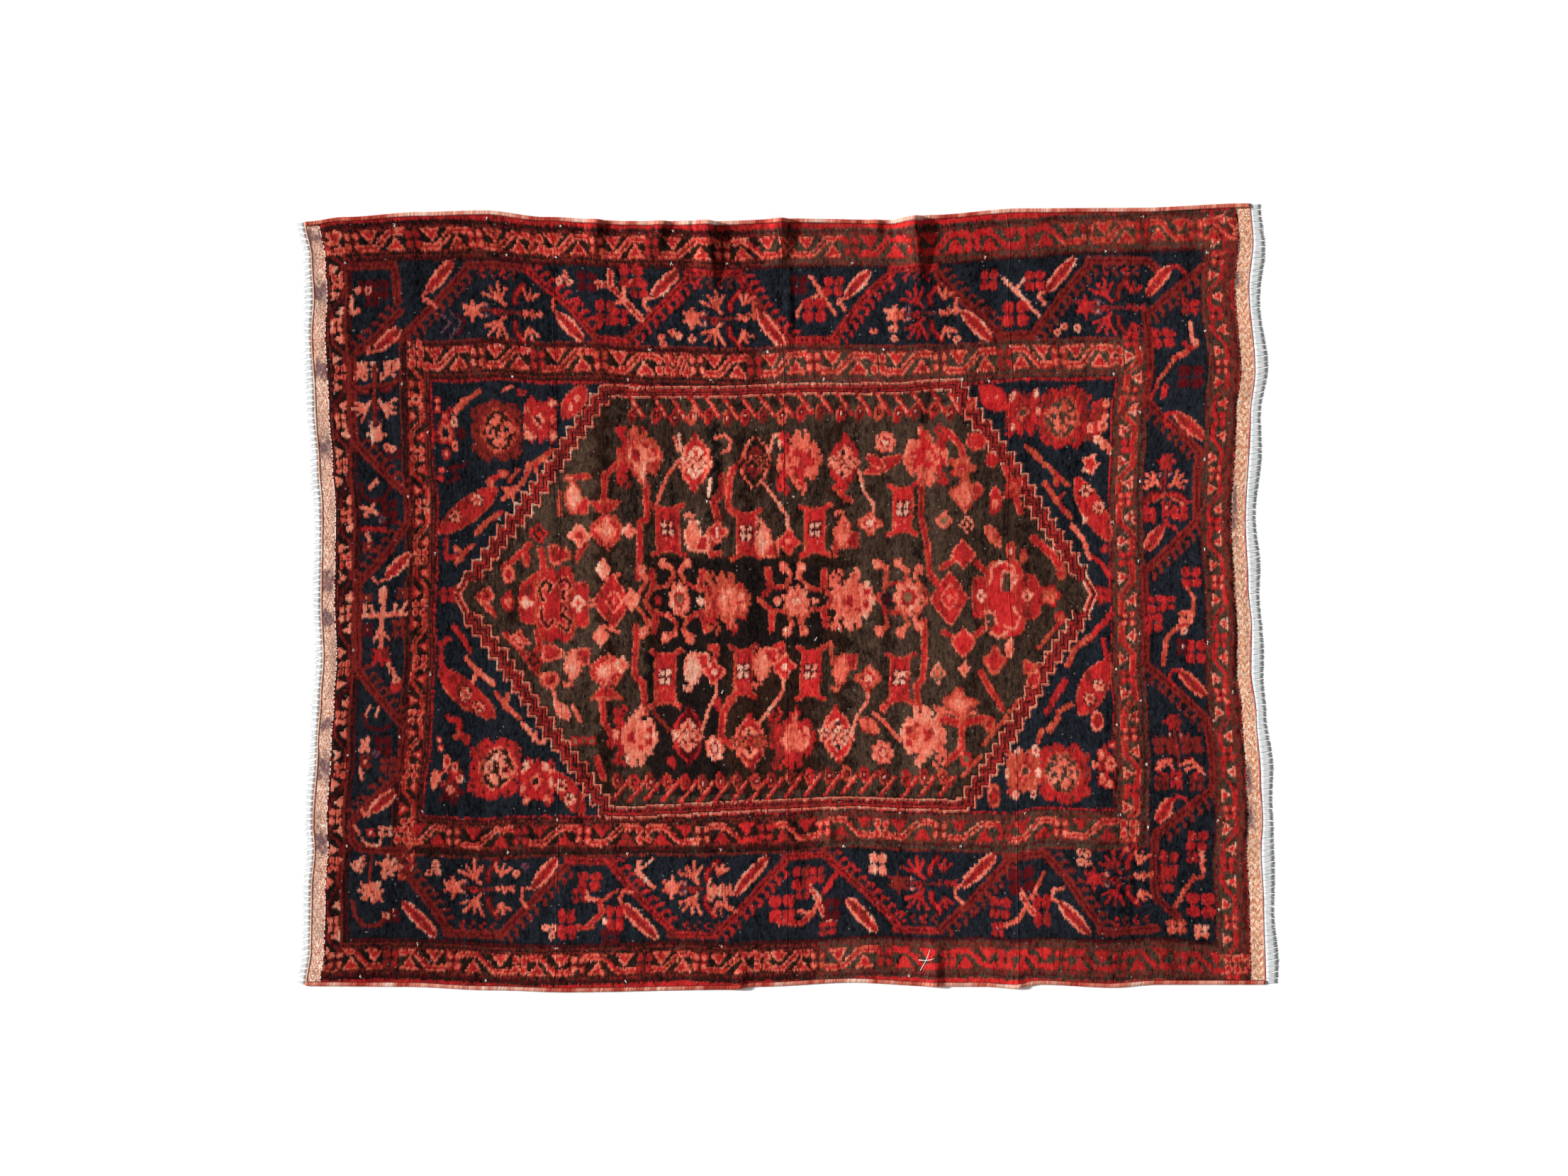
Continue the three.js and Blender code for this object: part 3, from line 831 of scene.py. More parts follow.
class Motifs:
    """The larger figures of the field and the spandrels."""

    PALMETTE = Stamp("""
        .a.a..bb.b......
        aaaa.bbb.bb.....
        aaa.bbbb.bb.....
        .aa.bbbbbbb.....
        .aaa.bbbbbb.b...
        ..aabbbbbbbbbb..
        ..aabbcbbddbbb..
        ..aabccccddcbbb.
        baabbcccccccddb.
        baabcdddccccddbb
        bbabcdddcccccdbb
        bbabcdddccceecbb
        bbabbcddcccccdbb
        baabbccccccbddb.
        .aaabbccccbbddb.
        .aaabbccccbbbbb.
        aaaa.bbcccbbbb..
        aaa..bbbcc..bb..
        aaaa..bbcc......
        a.aa...bccb.....
        aaa.a..bbcb.....
        .a.aa....bb.....
        ...a.....b......
    """)
    LANTERN = Stamp("""
        ..........b..........
        .........bbb.........
        .........bbb.........
        ........abbba........
        ........abbba........
        .......abbbbba.......
        ......abbbbbbba......
        .....aabbbbbbbaa.....
        ....aabbbbbbbbbaa....
        ...aabbbbbbbbbbbaa...
        ...aabbbbdddbbbbba...
        ..aaabbbdddddbbbbaa..
        ..aabbbbdddddbbbbaa..
        .aaabbdddcccdddbbbaa.
        .aaabddddcccddddbbaa.
        .aaabdddddcdddddbbaa.
        .aaabbdddccdddbbbbaa.
        .aaaeeeeeeeeeeeeeeaa.
    """)
    PAISLEY = Stamp("""
        .aa.......
        aaba......
        a..a......
        ..aba.....
        ..abba....
        .abbba....
        .abbbba...
        abbbbba...
        abbbbba...
        abbbbbbaaa
        abbbbbacca
        abbbbaccca
        aabbbaccca
        .abbacccca
        .aabacccca
        ..aaaaaaaa
    """)
    VASE = Stamp("""
        aab.....baa
        .acccbccca.
        ..accbcca..
        ...acbca...
        ....aba....
        ...acdca...
        ..acdddca..
        .acddedcca.
        acddeeedcca
        acdeeeeedca
        acddeeeddca
        accddeeddca
        .accddddca.
        ..accddca..
        ...aacaa...
        .....a.....
    """)
    ROSETTE = Stamp("""
        ......aaaa.......
        ...aaaaaaaa.aaa..
        ..aaabaaaaaaabaa.
        aaaaaaaccaaaaaaaa
        abaaaacbbbbcaaaaa
        aaaaacbbddbbcaaa.
        .aaacbbdddbbbcaba
        .aaacbddddbddbcaa
        aaaacbbddbddddcaa
        aaaccddbbbdeeddca
        abacbdedbbdeedbca
        aaacbdedbddddbbca
        aaaccdddbbddbbcaa
        .aaacbbbdddbbbcaa
        .aaaabbdddddbcaab
        aaaaacbbdedbbcaaa
        aaaaaacbbdbbcaaa.
        abaaaaaccccaaaaaa
        ..aaabaaaaaabaaa.
        ...aaaa.aaaaaaa..
        ....aa...aaa.....
    """)
    BLOSSOM = Stamp("""
        ..a.....aa.
        .aaa.a.adda
        .aaaaaaadda
        aaaaaaaaaa.
        ddaaabaaaaa
        ddaabcbaaaa
        aaabccbaada
        aabceecbadd
        aabceecbada
        aaabccbaaaa
        daaabcbaaaa
        ddaaabaaadd
        .aaaaaaaadd
        aaadaaaaaa.
        .add.aa.aaa
        ..a..a...a.
    """)

    @staticmethod
    def rosette(chart: Chart, rings: Sequence[Wool], place: Point, size: Point, lobes: int) -> None:
        """Draws a lobed flower as rings of wool, from the rim to the heart."""
        for index, wool in enumerate(rings):
            share = 1 - index / len(rings) * 0.93
            chart.oval(wool, *place, size[0] * share, size[1] * share, 2.2, lobes if share > 0.45 else 0)

    @classmethod
    def lantern(cls, chart: Chart, wools: Sequence[Wool], place: Point, width: float) -> None:
        """Draws a lantern: a pointed oval with a latticed band across it.

        Args:
            chart: The chart.
            wools: Wools of the rim, the body, the flower's heart, the flower, the lines and the band.
            place: The middle.
            width: Half the length of the band in knots.
        """
        for flip in (1, -1):
            cls.LANTERN.knot(chart, (place[0], place[1] - 12.5 * flip), wools, flip=flip)
        reach = np.array([width, 4])
        box = chart.window(place - reach, place + reach)
        i, j = chart.i[box] - place[0], chart.j[box] - place[1]
        band = (np.abs(i) < width) & (np.abs(j) < 4.2)
        lattice = (np.floor(i + j) % 6 == 0) | (np.floor(i - j) % 6 == 0)
        chart.wool[box][band] = wools[5]
        chart.wool[box][band & lattice] = wools[4]

    @staticmethod
    def box(chart: Chart, wool: Wool, i0: float, i1: float, j0: float, j1: float) -> None:
        """Draws an upright box with horned corners and four pale dots a little above its middle."""
        i, j = (i0 + i1) / 2, (j0 + j1) / 2
        for shade, grow in ((Wool.ORANGE, 1.0), (wool, 0.0)):
            chart.oval(shade, i, j, (i1 - i0) / 2 - 3.4 + grow, (j1 - j0) / 2 - 1.2 + grow, 14)
            for si, sj in QUARTERS:
                foot = (i + si * 3, j + sj * ((j1 - j0) / 2 - 2.4))
                horn = (i0 if si < 0 else i1, j + sj * (j1 - j0) * 0.54)
                chart.stroke(shade, 2.0 + 1.5 * grow, foot, horn)
        for side, top in ((-3.4, 4), (0.4, 10), (3.6, 7)):
            chart.stroke(Wool.RUST, 1.1, (i + side, j0 + top), (i + side, j - 7))
            chart.stroke(Wool.ORANGE, 1.1, (i + side - 1.8, j + 7), (i + side - 1.8, j1 - top))
        chart.oval(Wool.WINE, i, j - 1, 4.9, 5.6, 5)
        for si, sj in QUARTERS:
            chart.oval(Wool.CREAM, i + si * 2.3, j - 1 + sj * 2.8, 1.6, 1.9, 4)

    @staticmethod
    def scroll(chart: Chart, i: float, points: Sequence[Point]) -> None:
        """Draws a curling line that ends in a round drop, its places along the chart counted from i."""
        path = [(i + p, q) for p, q in points]
        chart.stroke(Wool.ORANGE, 3.0, *path[1:])
        chart.stroke(Wool.RED, 1.2, *path[2:])
        chart.stroke(Wool.SALMON, 3.6, *path[:2])
        chart.oval(Wool.SALMON, *path[0], 3.1, 3.6, 3)
        chart.oval(Wool.CORAL, *path[0], 1.6, 2.0)


class Medallion:
    """The brown six-sided field, its stepped frame and the row of slanted leaves inside it."""

    TOP = ((170, 115), (190, 111.8), (240, 113.6), (300, 115.4), (345, 115), (390, 112.8), (450, 111))
    BOTTOM = ((170, 419.6), (200, 419), (270, 417.6), (300, 419.4), (340, 418.6), (400, 417.8), (450, 418))
    UPPER = (207, 223, 236, 248, 259, 272, 284, 296, 309, 322, 335, 349, 362, 375, 388, 400, 413, 425)
    LOWER = (194, 205, 216, 228, 240, 252, 264, 276, 288, 299, 312, 325, 338, 350, 362, 375)
    LOWER += (390, 402, 415)
    # Wool put in the field's place, and the ends of its stretch along and across. The black stretch 259,264
    # is painted shadow beside a fold's crease.
    GROUNDS = """
        black 214,268,300,404; black 222,336,243,300; black 232,304,237,244; brown 212,348,235,302;
        black 259,264,140,236; brown 268,330,300,404; brown 181,191,120,412; brown 281,287,150,400;
        brown 344,352,120,412; olive 138,160,150,380; olive 166,178,150,380; olive 355,368,124,410;
        olive 384,400,130,400; olive 408,424,130,400
    """
    RINGS = "coral black red rust black red black coral brown"

    def inside(self, shape: tuple[int, int]) -> np.ndarray:
        """Returns where the medallion lies: between stepped ends that widen by one step each 8 rows."""
        j, i = np.indices(shape) + 0.5
        i = i + 1.1 * np.sin(j / 37)
        j = j + 1.2 * np.sin(i / 41)
        left = np.where(j < 262, 89 + 5.5 * np.floor((258 - j) / 8.2), 89 + 5.4 * np.floor((j - 281) / 7.6))
        right = np.where(j < 262, 520 - 5.25 * np.floor((254 - j) / 8), 516 - 5 * np.floor((j - 285) / 7.7))
        left = np.where(np.abs(j - 267) < 14, 82 + 0.5 * np.abs(j - 267), left)
        right = np.where(np.abs(j - 268) < 14, 527 - 0.5 * np.abs(j - 268), right)
        top, bottom = (np.interp(i, *np.array(curve, float).T) for curve in (self.TOP, self.BOTTOM))
        return (i > left) & (i < right) & (j > top) & (j < bottom)

    def knot(self, chart: Chart) -> None:
        """Fills the medallion by depth from its rim, counted in knots, then draws the slanted leaves."""
        layer = self.inside(chart.wool.shape)
        layers = [layer]
        ((rings, _),) = entries(self.RINGS)
        for wool in rings:
            inner = layer
            for step in (-1, 1):
                inner = inner & np.roll(layer, step, 0)
            for step in (-1, 1):
                inner = inner & np.roll(inner, step, 1)
            chart.wool[layer & ~inner] = wool
            layer = inner
            layers.append(layer)
        chart.wool[layer] = Wool.FIELD
        tips = (np.abs(chart.j - 268) < 11) & (np.abs(chart.i - 305) > 180)
        chart.wool[tips & layers[3]] = Wool.CORAL
        chart.wool[tips & layers[4]] = Wool.FIELD
        for (wool,), (sides,) in entries(self.GROUNDS):
            chart.recolour(Wool.FIELD, wool, *sides)
        for index, i in enumerate(self.UPPER):
            self.slanted(chart.flipped(267), i, 400 + 0.8 * math.sin(2.1 * index), index)
        for index, i in enumerate(self.LOWER):
            self.slanted(chart, i, 396 + 0.8 * math.sin(1.7 * index), index)
        for near, tip in (((83, 262), (70, 266)), ((83, 272), (70, 266)), ((526, 262), (536, 266))):
            chart.stroke(Wool.RUST, 2.6, near, tip)
        chart.stroke(Wool.RUST, 2.6, (526, 274), (536, 266))
        chart.flower(Wool.RED, 78, 267, 5, 5, Wool.WINE)
        chart.flower(Wool.RED, 530, 267, 5, 5, Wool.WINE)

    @staticmethod
    def slanted(chart: Chart, i: float, j: float, index: int) -> None:
        """Draws one eyed leaf with a slanted bar beside it, in wools that change along the row."""
        blade = (Wool.RUST, Wool.RED, Wool.RUST, Wool.ORANGE, Wool.RED)[index % 5]
        heart = (Wool.WINE, Wool.BROWN, Wool.WINE)[index % 3]
        chart.stroke(Wool.RED, 2.8, (i + 7, j - 2), (i + 4, j + 3), (i - 3, j + 12))
        chart.stroke(Wool.SALMON, 1.1, (i + 6, j - 1), (i + 3, j + 3), (i - 2, j + 10))
        chart.leaf(blade, 6.6, (i - 1.5, j - 8), (i + 1, j + 4.5), full=0.65)
        chart.stroke(Wool.ORANGE, 1.1, (i - 3, j - 5), (i - 3.4, j), (i - 1, j + 4))
        chart.oval(heart, i - 0.2, j - 1, 1.9, 2.8)
        chart.oval(Wool.RED, i - 0.2, j - 1, 0.9, 1.6)
        if index % 3 != 1:
            chart.oval(Wool.CREAM, i - 0.2, j - 1, 0.7, 0.9)


class Spandrels:
    """The navy corners: big flowers, leaves with pale blossoms on them and strewn twigs."""

    # Width, both tips and the places of the blossoms on it.
    LEAVES = """
        15 71,224 111,190 97,199 82,212; 16 71,319 109,351 90,335 98,344;
        12 151,388 172,417 156,397 162,407; 13 160,138 173,116; 15 512,185 535,229 519,194 528,206;
        17 533,313 509,352 517,341 525,332
    """
    # Wool, width and corners.
    TWIGS = """
        orange 3.6 152,160 144,168 136,172; 3.6 140,170 140,176; 4.4 136,172 133,179;
        3.4 131,183 125,191 121,192; salmon 3.8 117,191 125,190; 2.8 121,192 115,198; 2.8 122,192 122,197;
        4.6 86,136 92,129; orange 3.4 92,129 103,122; red 3.8 107,185 118,179;
        wine 2.6 93,173 89,175 80,178; 2.4 82,178 86,184 78,188; orange 3.6 97,223 105,214 114,207;
        red 3.4 76,228 76,241 82,240; orange 3.4 83,244 88,238 94,232; 2.6 88,238 82,234;
        red 3.4 78,297 72,301 72,315 78,323; 3.4 82,289 88,298 92,306; salmon 3.4 89,311 97,319 109,328;
        2.6 97,319 95,327; orange 3.4 111,334 117,343 126,351; 3.2 119,335 116,344;
        coral 3.4 129,355 136,362 141,367; 2.8 138,360 136,366; 2.8 141,367 144,366;
        red 4 78,352 85,354 86,362 91,368; orange 2.6 85,363 82,366; 3.4 477,164 483,169 490,177;
        4 482,168 484,172; 3.4 492,177 498,184 506,190; 4 498,184 498,190; 3.6 490,189 499,202 508,213;
        2.8 498,201 503,197; salmon 3.6 509,219 516,228 521,241; red 3 522,240 530,246 535,256;
        4 534,281 524,292 519,299; orange 4 519,297 510,305 504,317; red 4 502,328 494,338 486,350;
        orange 3.4 503,345 494,350 493,357; 4 494,354 488,363; 3.2 483,364 480,372; red 3 528,299 532,312;
        salmon 2.4 118,122 124,119
    """
    # Wools from rim to heart, middle, half sizes and number of lobes.
    FLOWERS = """
        red salmon navy 79,152 7,9 6; red salmon 79,140 2.6,4 0; coral cream brown 85,144 2.6,4 0;
        85,161 2.2,4 0; red coral 79,167 2.8,4 0; red wine 72,156 3,3 0; wine wine 90,152 2.5,4 0;
        wine rust 83,404 7,8 5; red salmon navy navy 78,394 5,6 0; coral salmon 71,396 2.6,7 0;
        rust red 84,392 5,9 5; coral red 88,394 2.6,3 0; 84,386 2,3.4 0; salmon red 78,383 2.6,5 0;
        coral salmon 82,402 3,3 0; red red 91,366 2,3 0; red rust 526,140 5,8 5;
        coral salmon 531,134 2.6,3 0; 531,144 2.4,3 0; rust red 524,152 5,9 5;
        salmon coral red 529,150 3.6,4 0; coral salmon 521,151 2,3.6 0; 526,159 3.2,3.2 0;
        530,163 3.2,3.2 0; red rust 524,384 5,9 5; salmon coral 522,380 2,4 0;
        coral salmon 517,387 2.4,2.6 0; salmon coral red 528,387 3.6,5 0; red red 523,398 4,5 5;
        coral salmon 522,397 2,4 0; 527,401 2.4,3 0; red coral 530,374 2.8,3 0;
        coral red red 521,357 4.4,7.4 0; orange rust red 449,407 4.6,8.4 0;
        coral bright red 521,176 5,6.6 5; bright bright coral 455,127 3,4 0;
        coral salmon 168,124 1.8,2.4 0; 164,130 1.8,2.6 0; bright salmon 74,129 2.2,2.4 0;
        74,135 2.4,2.6 0; red wine 82,136 2,2.6 0; bright salmon 75,179 2.2,2.4 0; 74,185 2.4,2.4 0;
        red rust 131,122 3.4,2.8 0; red coral 72,368 2.2,2.6 0; bright coral 73,374 2.2,2.4 0;
        salmon red 534,167 1.6,3 0; red orange 531,235 2.4,2.6 0; coral cream 518,214 2.2,2.4 0;
        orange orange 107,186 3,3 0; orange salmon 117,180 3.4,3 0; coral cream 152,127 2.4,3 0;
        153,151 2.4,3 0; coral salmon 136,152 3,3 0; coral cream 132,384 1.8,3.4 0; 145,384 2.2,3.2 0;
        149,395 1.8,3.4 0; salmon coral 147,407 2.4,2.6 0; 133,409 2.4,2.6 0; cream red 478,378 2.4,4 0;
        cream coral 479,394 1.8,3.4 0; 464,407 2.4,3 0; cream red 476,409 2.2,2.8 0;
        cream coral 458,391 1.8,3.4 0; 466,376 1.6,2.4 0; 466,128 2.2,3 0; coral cream 482,127 2,3.4 0;
        485,139 1.8,2.6 0; 468,149 2,2.6 0
    """
    # Wools, middle and turn, -1 where the figure is mirrored.
    BIG = """
        rust brown orange salmon navy 114,150 1,1; red brown salmon coral wine 111,387 -1,1;
        red olive orange salmon olive 503,143 1,-1; 497,394 -1,-1
    """
    SMALL = """
        red red coral salmon wine 144,140 1,1; red red salmon salmon brown 140,395 -1,1;
        red rust orange red olive 474,140 1,-1; orange red salmon orange olive 469,392 -1,-1
    """

    def knot(self, chart: Chart) -> None:
        """Draws the corners' figures."""
        for wools, ((width,), start, end, *blossoms) in entries(self.LEAVES):
            chart.leaf(Wool.RED, width, start, end, edge=Wool.ORANGE, full=0.6)
            for i, j in blossoms:
                chart.oval(Wool.BROWN, i, j, 4.6, 4.6)
                for turn in np.arange(6) * math.tau / 6:
                    chart.oval(Wool.CORAL, i + 2.9 * math.cos(turn), j + 3 * math.sin(turn), 1.3, 1.3, 3)
                chart.oval(Wool.BRIGHT, i, j, 1.1, 1.1)
        for (wool,), ((width,), *points) in entries(self.TWIGS):
            chart.stroke(wool, width, *points)
        for wools, (place, turn) in entries(self.BIG):
            Motifs.ROSETTE.knot(chart, place, wools, (turn[1], 0), int(turn[0] * turn[1]), 2.04)
        for wools, (place, turn) in entries(self.SMALL):
            Motifs.BLOSSOM.knot(chart, place, wools, (turn[1], 0), int(turn[0] * turn[1]), 2.05)
        chart.leaf(Wool.BRIGHT, 13, (443, 119), (463, 136), edge=Wool.RED, full=0.7)
        for rings, (place, size, (lobes,)) in entries(self.FLOWERS):
            Motifs.rosette(chart, rings, place, size, int(lobes))


class Field:
    """The figures of the brown field: three rows of palmettes, lanterns, boxes, scrolls and flowers."""

    # Wool, ends along and ends across.
    BOXES = """
        red 219,241 200,233; 275,294 204,236; bright 322,342 202,235; 383,402 188,221; red 217,237 304,340;
        271,289 300,334; bright 317,336 303,338; red 379,398 309,342
    """
    # Wools, middle and turn, -1 where the figure is mirrored.
    PALMETTES = """
        red orange coral red salmon 211,165 1,1; red salmon red salmon bright 321,170 1,1;
        red salmon bright salmon coral 408,167 -1,-1; red coral salmon red cream 207,362 1,-1;
        red red salmon coral red 314,366 1,-1; salmon coral salmon red bright 402,366 -1,1;
        orange orange salmon coral red 270,268 1,1; salmon coral salmon red coral 356,268 1,-1
    """
    # Wools of the lantern, middle and half its band.
    LANTERNS = """
        salmon red bright cream rust coral 249,168 11.5; salmon brown wine rust orange brown 290,168 12;
        red red salmon coral rust coral 352,171 11; red wine red coral rust coral 243,362 10.5;
        salmon red brown coral brown orange 285,367 12; salmon red red coral rust coral 344,366 12
    """
    # Wool, squareness, middle and half sizes.
    BLOCKS = """
        orange 5 133,269 6,15; red 5 133,269 4.8,14; orange 5 169,269 6,16; red 5 169,269 4.8,15;
        orange 4 152,269 13.5,27; red 4 152,269 12.5,26; olive 2 152,241 3,5; 2 152,297 3,5;
        orange 4 462,269 13.5,27; bright 4 462,269 12.5,26; orange 5 445,269 5.6,15; red 5 445,269 4.6,14;
        orange 3 478,269 9,16; red 3 478,269 8,15; olive 4 464,257 2.4,7; 4 451,285 2.2,5;
        salmon 1.1 190.5,266 13,20.5; red 1.1 190.5,266 11.8,19; salmon 1.1 192,266 6.4,9;
        red 1.1 192,266 4.8,7; salmon 1.1 192,266 1.8,2.6; 1.1 423.5,269 13.8,19.5;
        red 1.1 423.5,269 12.6,18; salmon 1.1 424,268 7,9.6; bright 1.1 424,268 5.6,7.8;
        salmon 1.1 424,268 2,2.8; 1.1 433,238 9,11; red 1.1 433,238 7.4,9.2; salmon 1.1 432,300 9,11;
        bright 1.1 432,300 7.4,9.2; coral 1.1 184,243 5.6,8; salmon 1.1 182,291 6,8;
        red 1.1 120,270 5.6,8.6; salmon 1.1 120,270 2.4,4; red 4 222,267 2.2,3.2; cream 2 251,267 2.2,3.6
    """
    # Wools from rim to heart, middle, half sizes and number of lobes.
    ROSETTES = """
        salmon coral red tan 237,266 7,12 9; salmon coral salmon cream 317,269 9,11 9;
        salmon coral red tan 395,267 10,12 8; salmon coral red cream 380,156 7,7 7;
        coral cream red cream 261,371 6,8.5 7; salmon coral red cream 374,378 7,8 7;
        salmon red red 264,218 6.5,7 4; salmon bright bright coral 314,226 7,8 4;
        orange salmon red cream 370,214 8,7 4; salmon red red cream 260,317 6.5,7.5 4;
        salmon bright red coral 308,315 7,8 4; orange salmon red cream 367,325 8,8 4;
        coral salmon red 168,220 7,7 4; red brown red 140,220 5.4,6 4; salmon red red 153,234 8,7 3;
        red brown red 136,309 5.4,6 4; salmon red red 148,303 8,6 3; salmon red 148,322 7,6 0;
        salmon red coral 126,296 6,6 4; orange salmon salmon 435,195 9,11 4;
        orange orange red 433,176 8,8 5; coral brown salmon 437,217 4.6,5.4 4; salmon tan 421,214 5,5.6 4;
        orange salmon coral 428,342 10,9 4; orange red coral 466,236 3.6,7 0; orange orange 475,240 3,5 0;
        orange red red 454,313 7,9 4; coral salmon 464,304 3,7 0; orange red 478,318 5,5 3;
        coral salmon 433,318 3.6,4.4 4; coral tan salmon 415,321 4.4,6.6 4;
        red orange orange 493,268 7.5,7 5; coral coral salmon 204,265 5,7 4; salmon red 119,251 4.4,6 0;
        orange red 131,239 3,5 0; salmon red wine 105,267 4.6,6 5; navy wine 380,268 4,5 0;
        coral 304,268 2.6,3 0; 330,268 3.4,2 0; coral salmon 203,217 4.6,4.6 4; 197,312 4.6,5.6 4;
        coral cream 132,269 4,4.6 4; cream coral red 168,268 4.6,4.4 4; coral cream red 446,268 3.4,4.4 4;
        478,268 3.6,4.6 4; red 231,380 3,4 0; 263,340 2.6,4.5 0; red tan 431,381 4.5,5 0;
        165,366 3.2,3.2 0; 171,366 3.2,3.2 0; 177,366 3.2,3.2 0; red salmon 456,202 4,8 3;
        orange red 447,357 4,6 0; red 467,190 4,5 0; 190,368 3,4 0; orange red 501,253 3.6,4 0;
        red orange 499,284 3.8,4.4 0; orange red 443,192 5,5 0; orange salmon 438,131 3,5 0;
        orange red 468,193 3.4,5 0; navy 351,164 1.6,1.8 0; 351,179 1.6,1.8 0; 345,358 1.6,1.8 0;
        344,375 1.6,1.8 0
    """
    # Wools, middle and turn, -1 where the figure is mirrored.
    VASES = "orange rust red salmon coral 187,212 1; 187,320 -1"
    PAISLEYS = """
        coral salmon red 250,218 1,1; salmon coral red 299,223 1,1; orange salmon red 354,218 1,1;
        coral cream red 248,318 1,-1; salmon coral red 295,315 1,-1; orange salmon red 350,321 1,-1;
        orange coral red 167,191 1,1; salmon coral red 166,314 1,-1
    """
    # Wools of the leaf and its outline, width and both tips.
    LEAVES = """
        red salmon 8 367,178 392,166; 6 368,166 380,174; salmon orange 8 360,354 372,364;
        red orange 7 438,152 443,163; 9 441,152 448,162; 9 449,172 458,170;
        orange salmon 7 450,218 459,232; salmon coral 7 151,338 160,350; red salmon 6 477,332 484,322;
        red orange 7 474,186 463,198; bright salmon 6 455,190 458,206
    """
    # Wool, width and corners.
    STEMS = """
        red 2.6 216,186 216,209 211,211 209,250; 2.6 198,168 187,178 186,198;
        salmon 2.2 238,166 230,178 223,198; red 2.6 280,170 274,173 272,200 278,206;
        coral 2.2 297,183 313,208 313,220; 2.2 363,177 366,192 372,200 372,208;
        red 2.6 405,185 405,208 409,230 409,250 418,262; cream 2.2 260,180 259,192;
        red 3 268,178 268,190 262,196 265,208; 1.8 346,236 346,230 349,226;
        2.6 206,284 206,318 212,325 213,346; 2.6 405,284 405,325 401,330 400,346;
        coral 2.2 262,325 262,332 256,345 253,358; 2.2 308,323 308,333 300,343 292,353;
        2.2 367,333 366,342 358,352 355,362; red 3 274,333 267,345 266,362 273,369;
        rust 2.4 218,340 219,346 235,362; red 2.2 260,308 262,300 257,300; 2.2 306,307 307,299 302,300;
        2.2 262,225 258,228 260,234 266,233; orange 2.4 334,302 340,298 341,314; red 2.6 381,341 376,347;
        salmon 2.6 370,350 378,358 386,369; red 4 415,353 428,356 442,353;
        salmon 3 419,348 428,351 438,348; red 2.6 428,357 428,373 416,385; orange 3 440,380 428,393;
        red 2.6 445,321 450,332 456,346; orange 2.8 484,305 499,286; 2.8 467,342 455,356 443,371;
        red 2.6 424,150 432,160 437,176; 2.4 418,247 427,242; 2.4 450,252 441,243; 2.4 418,292 426,297;
        2.4 449,288 440,296; 4 482,228 495,240 502,251; 2.6 462,176 470,196 474,210;
        2.6 134,228 124,238 115,247; 3 141,231 143,245 134,254; 3 139,289 140,300 133,308;
        2.6 172,225 166,236; orange 3 155,190 155,206; red 2.6 163,180 175,178; salmon 2.4 184,250 196,247;
        2.4 184,284 194,288; red 2.6 117,293 130,307 140,318; salmon 2.4 150,326 152,336;
        red 2.6 184,335 184,352 191,363; salmon 2.6 163,340 168,352; red 2.6 180,378 184,392;
        2.2 346,188 352,196 356,198; salmon 2 235,150 237,160; cream 1.6 238,148 239,160;
        salmon 2.4 262,151 269,148 273,153 271,160 266,161; coral 2.6 299,161 302,150 307,149 306,158;
        2 253,267 260,267; salmon 2.6 173,264 182,267 173,271; red 2.4 99,267 110,279; 3 218,246 220,258;
        3 254,246 252,259; 3 299,246 300,258; 3 337,248 336,259; 3 218,288 220,276; 3 254,288 252,275;
        3 299,288 300,276; 3 337,286 336,275; orange 2.4 128,176 120,186
    """
    # Middle along the chart, then corners counted from it.
    SCROLLS = """
        226 0,241 6,243 8,250 2,257 -8,258 -13,267; 242 1,240 -4,246 -1,253 6,258 14,258 19,267;
        212 -1,245 3,252 -3,262; 309 1,244 5,249 1,258 -9,259 -18,267;
        323 -1,244 -4,251 5,260 14,260 19,267; 380 -6,243 0,246 -2,262 -7,267;
        388 0,242 6,248 4,256 -8,257; 402 0,247 -3,252 6,265
    """
    # Small strokes drawn last: wool, width and corners.
    MARKS = """
        salmon 4.4 144,266 141,260 144,253 149,256 147,260;
        brown 2.2 144,266 141,260 144,253 149,256 147,260;
        salmon 4.4 154,254 159,251 162,257 157,261 158,266;
        wine 2.2 154,254 159,251 162,257 157,261 158,266; salmon 4.4 143,272 142,279 146,285 150,281;
        wine 2.2 143,272 142,279 146,285 150,281; salmon 4.4 154,284 159,288 162,281 157,276 159,272;
        brown 2.2 154,284 159,288 162,281 157,276 159,272;
        coral 1.8 452,259 453,247 461,243 469,248 470,259; 1.6 460,263 460,250 467,250 467,263;
        1.8 450,293 456,297 462,292; 1.6 448,290 448,279 455,279 455,288;
        1.6 467,275 471,282 468,291 460,288; cream 1.6 264,215 264,221;
        coral 1.1 387,320 390,322 387,324 390,326; 1.1 393,320 396,322 393,324 396,326;
        orange 2.2 193,206 197,211; 2.2 193,326 197,321; 2.4 178,196 196,196; 2.4 178,336 196,336
    """

